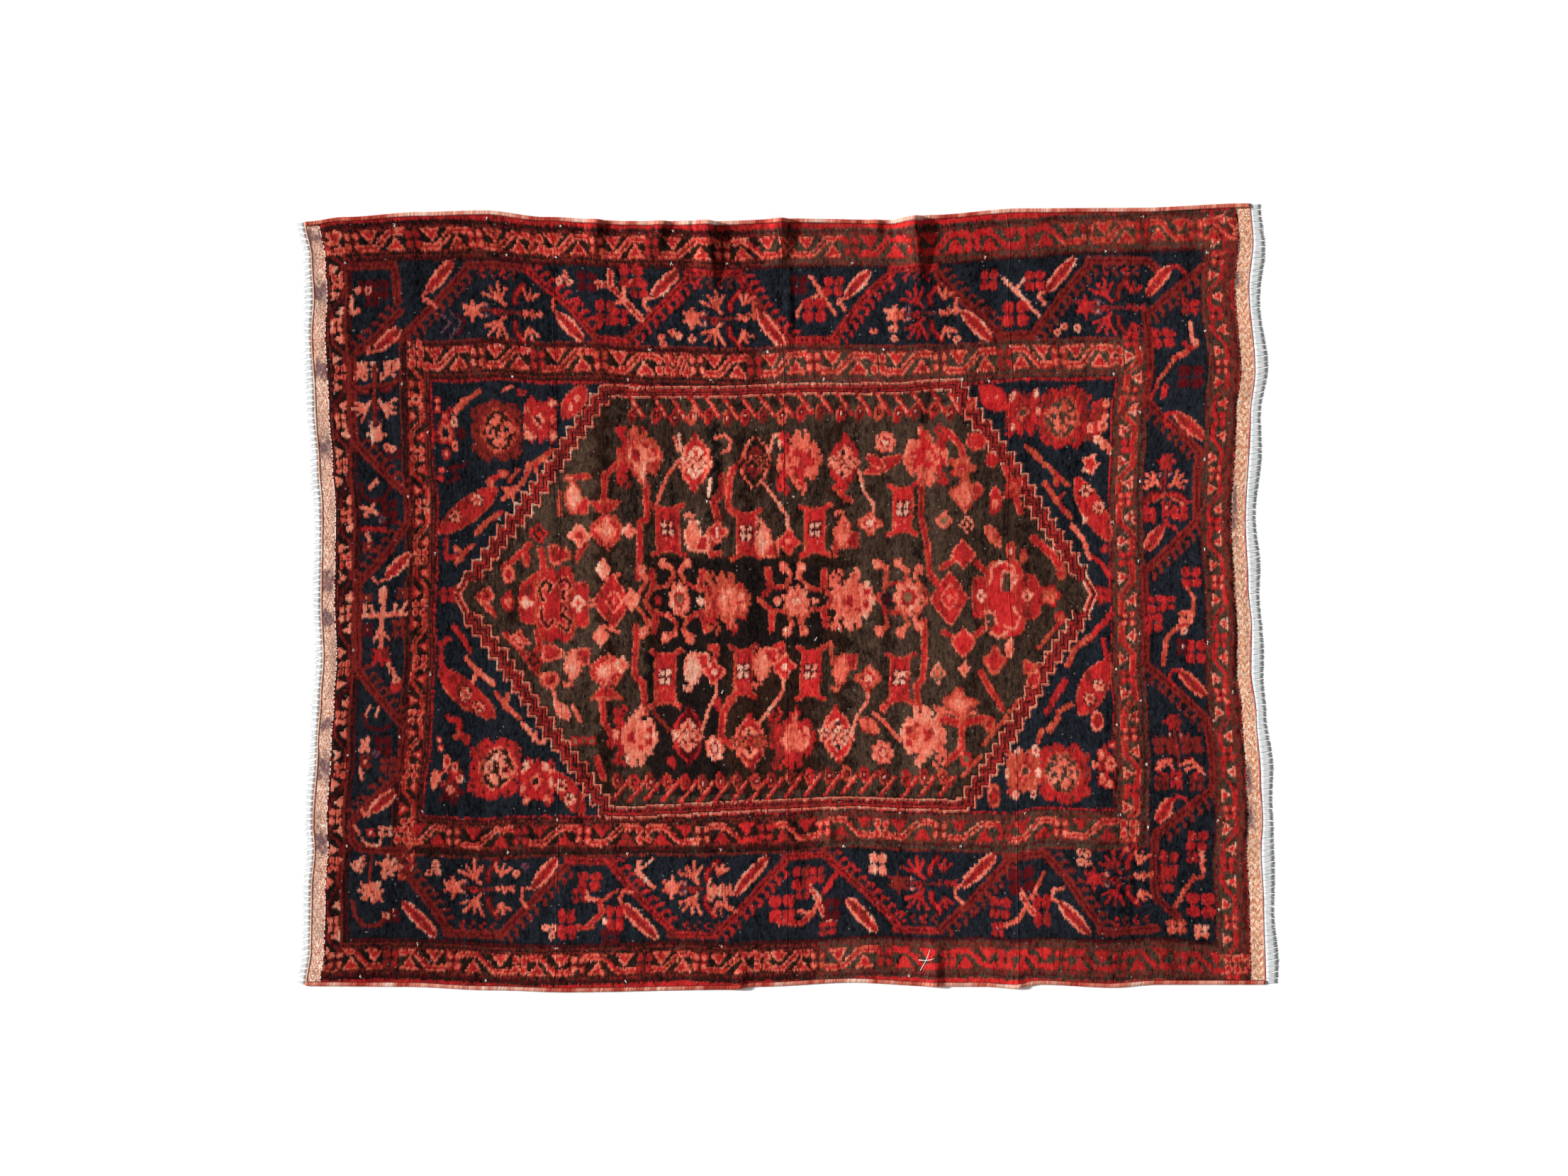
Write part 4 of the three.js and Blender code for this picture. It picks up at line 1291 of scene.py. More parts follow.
    def knot(self, chart: Chart) -> None:
        """Draws the field's figures, the ones that lie lowest first."""
        for (wool,), ((width,), *points) in entries(self.STEMS):
            chart.stroke(wool, width, *points, edge=Wool.ORANGE if wool == Wool.RED else None)
        for wools, (place, turn) in entries(self.PALMETTES):
            Motifs.PALMETTE.knot(chart, place, wools, (turn[0], 0), int(turn[0] * turn[1]), 1.95)
        for wools, (place, (width,)) in entries(self.LANTERNS):
            Motifs.lantern(chart, wools, place, width)
        for (wool,), (along, across) in entries(self.BOXES):
            Motifs.box(chart, wool, *along, *across)
        for (wool,), ((power,), place, size) in entries(self.BLOCKS):
            chart.oval(wool, *place, *size, power)
        for view in (chart, chart.flipped(267)):
            for _, ((i,), *points) in entries(self.SCROLLS):
                Motifs.scroll(view, i, points)
        for wools, (place, (flip,)) in entries(self.VASES):
            Motifs.VASE.knot(chart, place, wools, flip=int(flip), size=2.1)
        for wools, (place, turn) in entries(self.PAISLEYS):
            Motifs.PAISLEY.knot(chart, place, wools, (turn[0], 0), int(turn[0] * turn[1]), 1.75)
        for (body, shade), ((width,), start, end) in entries(self.LEAVES):
            chart.leaf(body, width, start, end, edge=shade, full=0.6)
        for rings, (place, size, (lobes,)) in entries(self.ROSETTES):
            Motifs.rosette(chart, rings, place, size, int(lobes))
        for (wool,), ((width,), *points) in entries(self.MARKS):
            chart.stroke(wool, width, *points)


def rug_chart(columns: int = COLUMNS, rows: int = ROWS) -> Chart:
    """Returns the whole pattern, drawn from the outer frames inwards."""
    chart = Chart.blank(columns, rows, 41)
    Borders().knot(chart)
    Medallion().knot(chart)
    Spandrels().knot(chart)
    Field().knot(chart)
    chart.mix(np.random.default_rng(43))
    return chart


# The cloth and its pieces.


def eased(curve: Curve, at: np.ndarray) -> np.ndarray:
    """Returns a table's value at each place, eased as 3 s^2 - 2 s^3 from one row to the next."""
    places, values = np.array(curve, float).T
    row = np.clip(np.searchsorted(places, at), 1, len(places) - 1)
    share = np.clip((at - places[row - 1]) / (places[row] - places[row - 1]), 0, 1)
    return values[row - 1] + (values[row] - values[row - 1]) * share * share * (3 - 2 * share)


def waves(shape: tuple[int, int], cell: tuple[float, float], rng: np.random.Generator) -> np.ndarray:
    """Returns smooth noise from about -1 to 1: random values on a coarse grid, eased between its points.

    Args:
        shape: Rows and columns wanted.
        cell: Rows and columns from one random value to the next.
        rng: Random numbers.
    """
    counts = [int(math.ceil(n / c)) + 2 for n, c in zip(shape, cell)]
    coarse = rng.uniform(-1, 1, counts)
    parts = []
    for size, step in zip(shape, cell):
        place = np.arange(size) / step
        whole = place.astype(int)
        share = place - whole
        parts.append((whole, share * share * (3 - 2 * share)))
    (row, down), (column, along) = parts
    down, along = down[:, None], along[None, :]
    upper = coarse[row][:, column] * (1 - along) + coarse[row][:, column + 1] * along
    lower = coarse[row + 1][:, column] * (1 - along) + coarse[row + 1][:, column + 1] * along
    return upper * (1 - down) + lower * down


def linear(code: str) -> np.ndarray:
    """Returns the linear red, green and blue of an sRGB hex colour such as "7a1512"."""
    share = np.array([int(code[k : k + 2], 16) for k in (0, 2, 4)]) / 255
    return np.where(share <= 0.04045, share / 12.92, ((share + 0.055) / 1.055) ** 2.4)


@dataclass(frozen=True)
class Fold:
    """A fold: its crest runs from (x, start) to (x + drift, stop) and dies out at start, in mm."""

    x: float
    start: float
    stop: float
    drift: float
    open: bool
    height: float
    left: float
    right: float

    def rise(self, x: np.ndarray, y: np.ndarray) -> np.ndarray:
        """Returns its height: a squared cosine across the crest times a squared sine along it."""
        share = (y - self.start) / (self.stop - self.start)
        across = x - self.x - self.drift * share
        reach = np.where(across < 0, self.left, self.right)
        along = np.sin(np.pi * np.clip(share, 0, 1) * (0.5 if self.open else 1)) ** 2
        over = np.cos(np.pi * np.clip(across / (2 * reach), -0.5, 0.5)) ** 2
        return self.height * along * over


@dataclass(frozen=True)
class ClothShape:
    """The lie of the cloth on the floor, in mm. u runs from the left end, v from the near edge."""

    length: float = 1850
    width: float = 1528
    pile: float = 7.5
    end_width: float = 26
    cord_width: float = 9
    parting: float = 0.3
    far: Curve = (
        ((-925, -22), (-850, -13), (-700, -3), (-575, 0), (-455, -13), (-290, -21), (-120, -21))
        + ((40, -16), (215, -19), (300, -9), (480, 4), (700, 5), (925, 14))
    )
    near: Curve = (
        ((-925, 4), (-740, 5), (-575, 12), (-430, 16), (-110, 11), (-55, 5), (125, -3), (300, 5))
        + ((380, 5), (440, 9), (492, 1), (630, 7), (716, 1), (925, 1))
    )
    left: Curve = (
        ((-764, 20), (-690, 11), (-570, 9), (-490, 3), (-445, 6), (-280, -3), (-190, -9), (-108, -14))
        + ((0, -10), (185, -12), (270, -6), (395, 2), (540, 9), (610, 5), (690, 9), (764, 22))
    )
    right: Curve = (
        ((-764, 19), (-610, 15), (-500, 10), (-445, 13), (-360, 9), (-235, 0), (-150, -10), (-66, -9))
        + ((20, -16), (140, -21), (350, -11), (437, -2), (600, -14), (690, -6), (764, -11))
    )
    folds: tuple[Fold, ...] = (
        Fold(-376, 655, 748, 4, True, 15, 32, 17),
        Fold(-252, 662, 743, 8, True, 13, 30, 16),
        Fold(-194, 690, 743, 0, True, 8, 20, 13),
        Fold(-138, 550, 743, -16, True, 25, 44, 18),
        Fold(-10, 620, 746, 2, True, 22, 38, 17),
        Fold(8, 440, 690, -2, False, 6, 17, 11),
        Fold(180, 700, 747, 0, True, 9, 20, 14),
        Fold(272, 550, 752, -20, True, 26, 46, 19),
        Fold(-292, 311, 493, -98, False, 3, 22, 18),
        Fold(-144, 165, 340, 6, False, 6, 24, 18),
        Fold(290, 150, 250, 4, False, 4, 20, 16),
        Fold(-292, -330, 340, 8, False, 5, 70, 52),
        Fold(88, -510, -415, -4, False, 6, 22, 16),
        Fold(-80, -680, -770, -12, True, 8, 24, 18),
        Fold(300, -600, -769, -6, True, 10, 26, 20),
        Fold(455, -700, -773, 4, True, 6, 24, 20),
    )

    def place(self, u: np.ndarray, v: np.ndarray, up: np.ndarray) -> np.ndarray:
        """Returns points in metres for woven places and heights over the lifted underside, in mm.

        x runs evenly from the left edge at v to the right one, y from the near edge at u to the far
        one, and the sum of all the folds' heights at (x, y) is added to up.
        """
        u, v, up = np.broadcast_arrays(u, v, up)
        left = -self.length / 2 - eased(self.left, v - self.width / 2)
        right = self.length / 2 + eased(self.right, v - self.width / 2)
        near = -self.width / 2 - eased(self.near, u - self.length / 2)
        far = self.width / 2 + eased(self.far, u - self.length / 2)
        x = left + (right - left) * u / self.length
        y = near + (far - near) * v / self.width
        lift = sum(fold.rise(x, y) for fold in self.folds)
        return np.stack([x, y, lift + up], -1) * MM


class Builder:
    """Makes mesh objects from arrays of points and corners."""

    @staticmethod
    def volume(points: np.ndarray, quads: np.ndarray) -> float:
        """Returns the signed volume under faces of four corners, each as two triangles."""
        a, b, c, d = (points[quads[:, k]] for k in range(4))
        first = np.einsum("ij,ij->i", a, np.cross(b, c))
        return float((first + np.einsum("ij,ij->i", a, np.cross(c, d))).sum() / 6)

    @staticmethod
    def mesh(
        name: str,
        points: np.ndarray,
        faces: Sequence[np.ndarray],
        colours: np.ndarray | None = None,
        uv: np.ndarray | None = None,
    ) -> bpy.types.Object:
        """Returns a linked object.

        Args:
            name: The piece's name.
            points: One row of x, y, z for each vertex, in metres.
            faces: Arrays of vertex indices, each of faces with equally many corners. Of two arrays the
                second is the ends of cords, which stay flat.
            colours: One linear RGB row for each face corner, kept as the attribute "Wool".
            uv: One row for each face corner, kept as the map "OFBake".
        """
        corners = np.concatenate([group.ravel() for group in faces]).astype(np.int32)
        sizes = np.concatenate([np.full(len(group), group.shape[1]) for group in faces])
        starts = np.concatenate([[0], np.cumsum(sizes)[:-1]]).astype(np.int32)
        mesh = bpy.data.meshes.new(name)
        mesh.vertices.add(len(points))
        mesh.vertices.foreach_set("co", points.astype(np.float32).ravel())
        mesh.loops.add(len(corners))
        mesh.loops.foreach_set("vertex_index", corners)
        mesh.polygons.add(len(starts))
        mesh.polygons.foreach_set("loop_start", starts)
        sides = np.arange(len(starts)) < (len(faces[0]) if len(faces) == 2 else len(starts))
        mesh.polygons.foreach_set("use_smooth", sides)
        mesh.update(calc_edges=True)
        if mesh.validate():
            LOG.warning("%s: the mesh needed repair", name)
        if colours is not None:
            layer = mesh.color_attributes.new("Wool", "FLOAT_COLOR", "CORNER")
            filled = np.ones((len(corners), 4), np.float32)
            filled[:, :3] = colours
            layer.data.foreach_set("color", filled.ravel())
        if uv is not None:
            mesh.uv_layers.new(name="OFBake").data.foreach_set("uv", uv.astype(np.float32).ravel())
        piece = bpy.data.objects.new(name, mesh)
        bpy.context.collection.objects.link(piece)
        return piece

    @classmethod
    def slab(
        cls,
        name: str,
        top: np.ndarray,
        bottom: np.ndarray,
        colours: np.ndarray,
        under: np.ndarray,
    ) -> bpy.types.Object:
        """Returns a closed slab with a fine upper face and a coarser under face.

        Args:
            name: The piece's name.
            top: Grid of points, (rows + 1, columns + 1, 3).
            bottom: Grid of points whose rows and columns divide the top's.
            colours: Linear RGB of each upper face's corners, (rows, columns, 4, 3).
            under: Linear RGB of the under face and the walls.
        """
        rows, columns = top.shape[0] - 1, top.shape[1] - 1
        low_rows, low_columns = bottom.shape[0] - 1, bottom.shape[1] - 1
        step = (rows // low_rows, columns // low_columns)
        upper = np.arange(top.shape[0] * top.shape[1]).reshape(top.shape[:2])
        lower = upper.size + np.arange(bottom.shape[0] * bottom.shape[1]).reshape(bottom.shape[:2])

        def quads(grid: np.ndarray) -> np.ndarray:
            """Returns the faces of a grid of vertex indices."""
            return np.stack([grid[1:, :-1], grid[1:, 1:], grid[:-1, 1:], grid[:-1, :-1]], -1).reshape(-1, 4)

        def wall(edge: np.ndarray, low: np.ndarray, pace: int, turn: bool) -> np.ndarray:
            """Returns faces from an edge of the top down to the coarser edge below it."""
            spans = np.arange(len(low) - 1)[:, None] * pace + np.arange(pace + 1)[None, :]
            face = np.concatenate([edge[spans], low[1:, None], low[:-1, None]], 1)
            return face[:, ::-1] if turn else face

        def spread(grid: np.ndarray, high: float, low: float) -> np.ndarray:
            """Returns a grid's places on the map, its rows between two heights."""
            across, down = np.linspace(0.006, 0.994, grid.shape[1]), np.linspace(high, low, grid.shape[0])
            return np.stack(np.meshgrid(across, down), -1).reshape(-1, 2)

        groups = [
            quads(upper),
            quads(lower)[:, ::-1],
            wall(upper[0], lower[0], step[1], True),
            wall(upper[-1], lower[-1], step[1], False),
            wall(upper[:, 0], lower[:, 0], step[0], False),
            wall(upper[:, -1], lower[:, -1], step[0], True),
        ]
        points = np.concatenate([top.reshape(-1, 3), bottom.reshape(-1, 3)])
        if cls.volume(top.reshape(-1, 3), groups[0]) < 0:
            groups = [group[:, ::-1] for group in groups]
            colours = colours[:, :, ::-1]
        place = np.concatenate([spread(upper, 0.994, 0.036), spread(lower, 0.026, 0.004)])
        order = np.concatenate([group.ravel() for group in groups])
        shade = np.tile(under, (len(order), 1))
        shade[: rows * columns * 4] = colours.reshape(-1, 3)
        return cls.mesh(name, points, groups, shade, place[order])

    @classmethod
    def tubes(
        cls,
        name: str,
        paths: np.ndarray,
        radii: np.ndarray,
        sides: int,
        colours: np.ndarray,
        flat: float = 1.0,
    ) -> bpy.types.Object:
        """Returns many closed tubes as one mesh.

        Args:
            name: The piece's name.
            paths: Points along each tube, (tubes, stations, 3).
            radii: Radius at each station, (tubes, stations).
            sides: Corners of the section.
            colours: Linear RGB of each tube.
            flat: Height of the section over its width.
        """
        count, stations = paths.shape[:2]
        ahead = np.gradient(paths, axis=1)
        ahead /= np.linalg.norm(ahead, axis=-1, keepdims=True) + 1e-12
        side = np.cross(ahead, np.array([0.0, 0.0, 1.0]) + ahead[..., ::-1] * 1e-3)
        side /= np.linalg.norm(side, axis=-1, keepdims=True) + 1e-12
        up = np.cross(side, ahead)
        angle = np.arange(sides) * math.tau / sides
        ring = (
            side[:, :, None] * np.cos(angle)[None, None, :, None]
            + up[:, :, None] * (flat * np.sin(angle))[None, None, :, None]
        )
        points = (paths[:, :, None] + ring * radii[:, :, None, None]).reshape(-1, 3)
        index = np.arange(count * stations * sides).reshape(count, stations, sides)
        nxt = np.roll(index, -1, axis=2)
        body = np.stack([index[:, :-1], nxt[:, :-1], nxt[:, 1:], index[:, 1:]], -1).reshape(-1, 4)
        ends = np.concatenate([index[:, 0, ::-1], index[:, -1]]).reshape(-1, sides)
        sample = body[: (stations - 1) * sides]
        middle = points[: stations * sides].mean(0)
        if cls.volume(points - middle, sample) < 0:
            body, ends = body[:, ::-1], ends[:, ::-1]
        shade = np.concatenate(
            [np.repeat(colours, (stations - 1) * sides * 4, 0), np.tile(np.repeat(colours, sides, 0), (2, 1))]
        )
        return cls.mesh(name, points, [body, ends], shade)


class Dye:
    """The wools' colours as they lie on the floor, uneven from one row of knots to the next."""

    SHADES: dict[Wool, tuple[str, str]] = {
        Wool.BLACK: ("0a0708", "291e1b"),
        Wool.NAVY: ("08090c", "272b32"),
        Wool.FIELD: ("160f0d", "4b372c"),
        Wool.BROWN: ("120a08", "3a241b"),
        Wool.GUARD: ("110908", "33201a"),
        Wool.WINE: ("3a0a0e", "64151a"),
        Wool.RED: ("831619", "c52e2c"),
        Wool.BRIGHT: ("a4171d", "dc3531"),
        Wool.RUST: ("571614", "8f2c25"),
        Wool.ORANGE: ("922f24", "cf563e"),
        Wool.SALMON: ("ba4032", "f3775f"),
        Wool.CORAL: ("c75745", "f99479"),
        Wool.CREAM: ("c27660", "f8bfa4"),
        Wool.MAUVE: ("45262f", "76505b"),
        Wool.TAN: ("644030", "966a4c"),
        Wool.OLIVE: ("221813", "594336"),
    }

    @classmethod
    def colours(cls, chart: Chart, rng: np.random.Generator) -> np.ndarray:
        """Returns the linear RGB of each knot.

        Each wool runs from its darker to its lighter shade with slow waves that are long across the
        rug, where one batch of yarn ran out and the next began, with streaks two to four knots long
        down the row and with a random share for each knot. Part of each knot's colour is the next
        knot's, as the fibres lie over it, and a few knots hold a speck of lint. The left side is
        darker, most of all at the outer border.
        """
        shape = chart.wool.shape
        dark = np.array([linear(cls.SHADES[wool][0]) for wool in Wool])
        light = np.array([linear(cls.SHADES[wool][1]) for wool in Wool])
        batch = 0.6 * waves(shape, (190, 9), rng) + 0.4 * waves(shape, (60, 4), rng)
        streak = waves(shape, (3, 1), rng)
        knot = rng.normal(0, 0.22, shape) + 0.3 * streak + 0.12 * waves(shape, (3, 3), rng)
        share = np.clip(0.46 + 0.3 * batch + knot, -0.3, 1.35)[..., None]
        colour = dark[chart.wool] * (1 - share) + light[chart.wool] * share
        column = np.arange(shape[1])[None, :]
        gloom = 0.3 * np.exp(-((column / 95) ** 2)) + 0.1 * waves(shape, (120, 90), rng)
        colour = np.clip(colour * (1 - gloom)[..., None], 0.0015, 1)
        before = np.roll(colour, 1, 0)
        beside = np.roll(colour, 1, 1)
        lint = rng.random(shape) > 0.9978
        colour[lint] = 0.7 * colour[lint] + 0.3 * linear("d8c8c0")
        return 0.62 * colour + 0.3 * before + 0.08 * beside


@dataclass
class Pile:
    """The knotted pile: one small face for each knot, in pieces side by side along the rug."""

    shape: ClothShape
    columns: int = COLUMNS
    rows: int = ROWS
    pieces: int = 4
    base: float = 1.6
    seed: int = 7

    def heights(self, chart: Chart, rng: np.random.Generator) -> np.ndarray:
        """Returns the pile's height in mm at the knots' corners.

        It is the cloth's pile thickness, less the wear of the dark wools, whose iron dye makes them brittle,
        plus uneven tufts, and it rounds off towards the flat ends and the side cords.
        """
        worn = np.isin(chart.wool, (Wool.FIELD, Wool.BROWN, Wool.BLACK, Wool.GUARD, Wool.OLIVE))
        low = -0.75 * worn.astype(float) - 0.25 * (chart.wool == Wool.NAVY)
        low = (low + np.roll(low, 1, 0) + np.roll(low, 1, 1) + np.roll(low, -1, 0)) / 4
        grid = np.pad(low, ((0, 1), (0, 1)), mode="edge")
        grid = grid + rng.normal(0, 0.2, grid.shape) + 0.3 * waves(grid.shape, (7, 3), rng)
        grid = grid + 0.35 * waves(grid.shape, (40, 14), rng)
        along = np.minimum(np.arange(self.columns + 1), np.arange(self.columns, -1, -1))
        across = np.minimum(np.arange(self.rows + 1), np.arange(self.rows, -1, -1))
        grid = grid - 3.4 * np.exp(-along / 0.9)[None, :] - 0.6 * np.exp(-across / 0.9)[:, None]
        return self.shape.pile - 0.2 + grid

    def build(self, chart: Chart) -> list[bpy.types.Object]:
        """Returns the pile's pieces."""
        rng = np.random.default_rng(self.seed)
        s = self.shape
        up = self.heights(chart, rng)
        i, j = np.meshgrid(np.arange(self.columns + 1.0), np.arange(self.rows + 1.0))
        free = (i > 0) & (i < self.columns) & (j > 0) & (j < self.rows)
        i_moved = i + rng.uniform(-0.16, 0.16, i.shape) * free
        j_moved = j + (rng.uniform(-0.3, 0.3, i.shape) + 0.22 * waves(i.shape, (4, 2), rng)) * free
        edge = s.cord_width + s.parting
        u = s.end_width + (s.length - 2 * s.end_width) * i_moved / self.columns
        v = s.width - edge - (s.width - 2 * edge) * j_moved / self.rows
        top = s.place(u, v, up)
        colour = Dye.colours(chart, rng)
        # Painted shade: two corners of each knot's face are darkened to 0.8 and the other two lightened to
        # 1.12, so each row of knots runs from shade to light.
        row_shaded_colour = np.stack([colour * shade for shade in (0.8, 0.8, 1.12, 1.12)], 2)
        made = []
        span = self.columns // self.pieces
        for index in range(self.pieces):
            part = slice(index * span, (index + 1) * span + 1)
            body = slice(index * span, (index + 1) * span)
            low_u = s.end_width + (s.length - 2 * s.end_width) * i[::10, part][:, ::5] / self.columns
            low_v = s.width - edge - (s.width - 2 * edge) * j[::10, part][:, ::5] / self.rows
            low = s.place(low_u, low_v, np.full(low_u.shape, self.base))
            piece = Builder.slab(f"pile_{index + 1}", top[:, part], low, row_shaded_colour[:, body], linear("3a1c17"))
            made.append(piece)
        return made


@dataclass
class GroundSheet:
    """The foundation: a thin closed sheet under the pile, one faded red-brown below."""

    shape: ClothShape
    columns: int = 160
    rows: int = 50
    low: float = 0.25
    high: float = 2.1

    def build(self) -> bpy.types.Object:
        """Returns the sheet."""
        s = self.shape
        edge = s.cord_width + s.parting
        along = np.linspace(s.parting, s.length - s.parting, self.columns + 1)
        u, v = np.meshgrid(along, np.linspace(s.width - edge, edge, self.rows + 1))
        top = s.place(u, v, np.full(u.shape, self.high))
        bottom = s.place(u, v, np.full(u.shape, self.low))
        colours = np.broadcast_to(linear("8a6a58"), (self.rows, self.columns, 4, 3))
        return Builder.slab("ground_sheet", top, bottom, np.array(colours), linear("7a4638"))


@dataclass
class FlatEnd:
    """A flat-woven end band: a fine hatch of salmon and pale wools, with painted purple-grey shade where it
    puckers and next to the pile.
    """

    shape: ClothShape
    on_right: bool
    shadows: tuple[tuple[float, float], ...]
    columns: int = 14
    rows: int = 560
    seed: int = 3

    def build(self) -> bpy.types.Object:
        """Returns the band. Its hatch climbs one column each row and turns back every seven columns."""
        rng = np.random.default_rng(self.seed + self.on_right)
        s = self.shape
        edge = s.cord_width + s.parting
        a, b = np.meshgrid(np.arange(self.columns + 1.0), np.arange(self.rows + 1.0))
        v = s.width - edge - (s.width - 2 * edge) * b / self.rows
        out = a / self.columns * (s.end_width + 1.2)
        u = s.length - 0.2 - out if self.on_right else out + 0.2
        bumps = 0.32 * np.sign(np.sin((a + b) * math.pi)) + rng.normal(0, 0.12, a.shape)
        bumps = bumps + 0.5 * waves(a.shape, (3, 2), rng) + 0.35 * np.sin(b * 0.9 + 2.4 * np.sin(a * 0.8))
        bumps = bumps + 0.3 * waves(a.shape, (8, 3), rng)
        rim = np.minimum(a, 1.0)
        up = 2.35 + 0.35 * bumps + 0.35 * rim
        top = s.place(u, v, up)
        low = s.place(u[::10, ::7], v[::10, ::7], np.full(u[::10, ::7].shape, 0.6))
        a, b = a[:-1, :-1], b[:-1, :-1]
        lean = np.abs(a % 8 - 4)
        turn = (b + lean * (1 if self.on_right else 2)) % 6
        pale, warm = ("e4b697", "cc8c6c") if self.on_right else ("e2b9a3", "c68f78")
        colour = np.where((turn < 3)[..., None], linear(warm), linear(pale))
        fleck = rng.random(a.shape)
        colour = np.where((fleck > 0.91)[..., None], linear("f4dcc8"), colour)
        colour = np.where((fleck < 0.07)[..., None], linear("b0604a"), colour)
        grey = np.clip(0.5 * waves(a.shape, (26, 9), rng), 0, 0.4) * (1 - 0.5 * self.on_right)
        colour = colour * (1 - grey)[..., None] + linear("8c7468") * grey[..., None]
        uneven = rng.normal(0, 0.15, a.shape) + 0.22 * waves(a.shape, (3, 2), rng)
        colour = colour * np.exp(uneven)[..., None]
        # Painted shade: the listed stretches are blended towards purple-grey, on the right only on the inner
        # part next to the pile.
        dark = np.zeros(a.shape)
        for start, stop in self.shadows:
            middle, half = self.row((start + stop) / 2), abs(self.row(stop) - self.row(start)) / 2
            reach = np.clip(1.3 - np.abs(b - middle) / half + 0.7 * waves(a.shape, (4, 3), rng), 0, 1)
            if self.on_right:
                reach = reach * np.clip(a / 5 - 0.7, 0, 1)
            dark = np.maximum(dark, reach)
        dark = np.clip(dark * (1 + 0.5 * waves(a.shape, (2, 2), rng)), 0, 1) * 0.82
        colour = colour * (1 - dark)[..., None] + linear("5a3d49") * dark[..., None]
        dots = (a == self.columns - 2) & (rng.random(a.shape) > 0.45)
        seam = a >= self.columns - 2
        colour = np.where(seam[..., None], linear("5b1b17"), colour)
        colour = np.where(dots[..., None], linear("efd5c7"), colour)
        # Painted shade: two corners of each face are darkened to 0.86 and the other two lightened to 1.05, so
        # each row runs from shade to light.
        row_shaded_colour = np.stack([np.clip(colour, 0, 1) * shade for shade in (0.86, 0.86, 1.05, 1.05)], 2)
        name = "flat_end_right" if self.on_right else "flat_end_left"
        return Builder.slab(name, top, low, row_shaded_colour, linear("c07a66"))

    def row(self, photo_y: float) -> float:
        """Returns the band's row for a height in the photo, at 1.4 mm a pixel."""
        y = (PHOTO_MIDDLE[1] - photo_y) * PHOTO_PIXEL
        return (self.shape.width / 2 - y) / self.shape.width * self.rows


@dataclass
class WoundCord:
    """Yarn wound closely over a core: a section whose size swells and sinks once each turn."""

    name: str
    place: Callable[[np.ndarray, np.ndarray, np.ndarray], np.ndarray]
    span: tuple[float, float]
    section: tuple[Point, ...]
    pitch: float
    slant: float
    shades: tuple[str, ...]
    seed: int
    inner: tuple[float, ...] = ()

    def build(self) -> bpy.types.Object:
        """Returns the cord: rings at three places in each turn, and a flat cap at each end."""
        rng = np.random.default_rng(self.seed)
        turns = int((self.span[1] - self.span[0]) / self.pitch)
        section = np.array(self.section, float)
        heart = np.array([section[:, 0].mean(), section[:, 1].max() * 0.35])
        phase = np.arange(turns * 3 + 1) / 3
        swell = np.where(np.arange(turns * 3 + 1) % 3 == 0, 0.87, 1.0)
        swell = swell * (1 + 0.035 * rng.normal(0, 1, swell.shape))
        swell = swell + 0.02 * waves((1, len(swell)), (1, 31), rng)[0]
        swell[[0, -1]] = 0.9
        shape = heart + (section - heart) * np.minimum(swell, 1.04)[:, None, None]
        shape[:, :, 1] = np.maximum(shape[:, :, 1], 0.05)
        along = self.span[0] + (self.span[1] - self.span[0]) * phase / turns
        lean = self.slant * (section[:, 0] - heart[0]) / np.ptp(section[:, 0])
        along = along[:, None] + lean[None, :] * np.minimum(1, np.minimum(phase, turns - phase))[:, None]
        points = self.place(along, shape[..., 0], shape[..., 1]).reshape(-1, 3)
        rings, corners = len(phase), len(section)
        index = np.arange(rings * corners).reshape(rings, corners)
        nxt = np.roll(index, -1, 1)
        body = np.stack([index[:-1], nxt[:-1], nxt[1:], index[1:]], -1).reshape(-1, 4)
        ends = np.stack([index[0, ::-1], index[-1]])
        middle = points.mean(0)
        if Builder.volume(points - middle, body) < 0:
            body, ends = body[:, ::-1], ends[:, ::-1]
        batch = waves((1, turns), (1, 23), rng)[0] + 0.7 * waves((1, turns), (1, 6), rng)[0]
        step = np.clip(0.5 + 0.45 * batch + rng.normal(0, 0.1, turns), 0, 1) * (len(self.shades) - 1.001)
        whole = step.astype(int)
        shades = np.array([linear(code) for code in self.shades])
        tone = shades[whole] + (shades[whole + 1] - shades[whole]) * (step - whole)[:, None]
        tone = tone * rng.uniform(0.8, 1.15, (turns, 1))
        # Painted shade: in each turn the faces leaving the groove between two wraps are darkened to 0.72, and
        # those before the next groove to 0.9.
        bands = np.repeat(tone, 3, 0)[:, None, :] * np.tile([0.72, 1.0, 0.9], turns)[:, None, None]
        bands = np.repeat(bands, corners, 1)
        if self.inner:
            patch = 0.3 * waves((1, turns * 3), (1, 34), rng)[0] + rng.normal(0, 0.1, turns * 3)
            share = np.clip(np.array(self.inner)[None, :] + patch[:, None], 0, 1)[..., None]
            bands = bands * (1 - share) + linear("93201c") * share
        shade = np.repeat(bands.reshape(-1, 3), 4, 0)
        shade = np.concatenate([shade, np.tile(tone[0], (2 * corners, 1))])
        return Builder.mesh(self.name, points, [body, ends], shade)


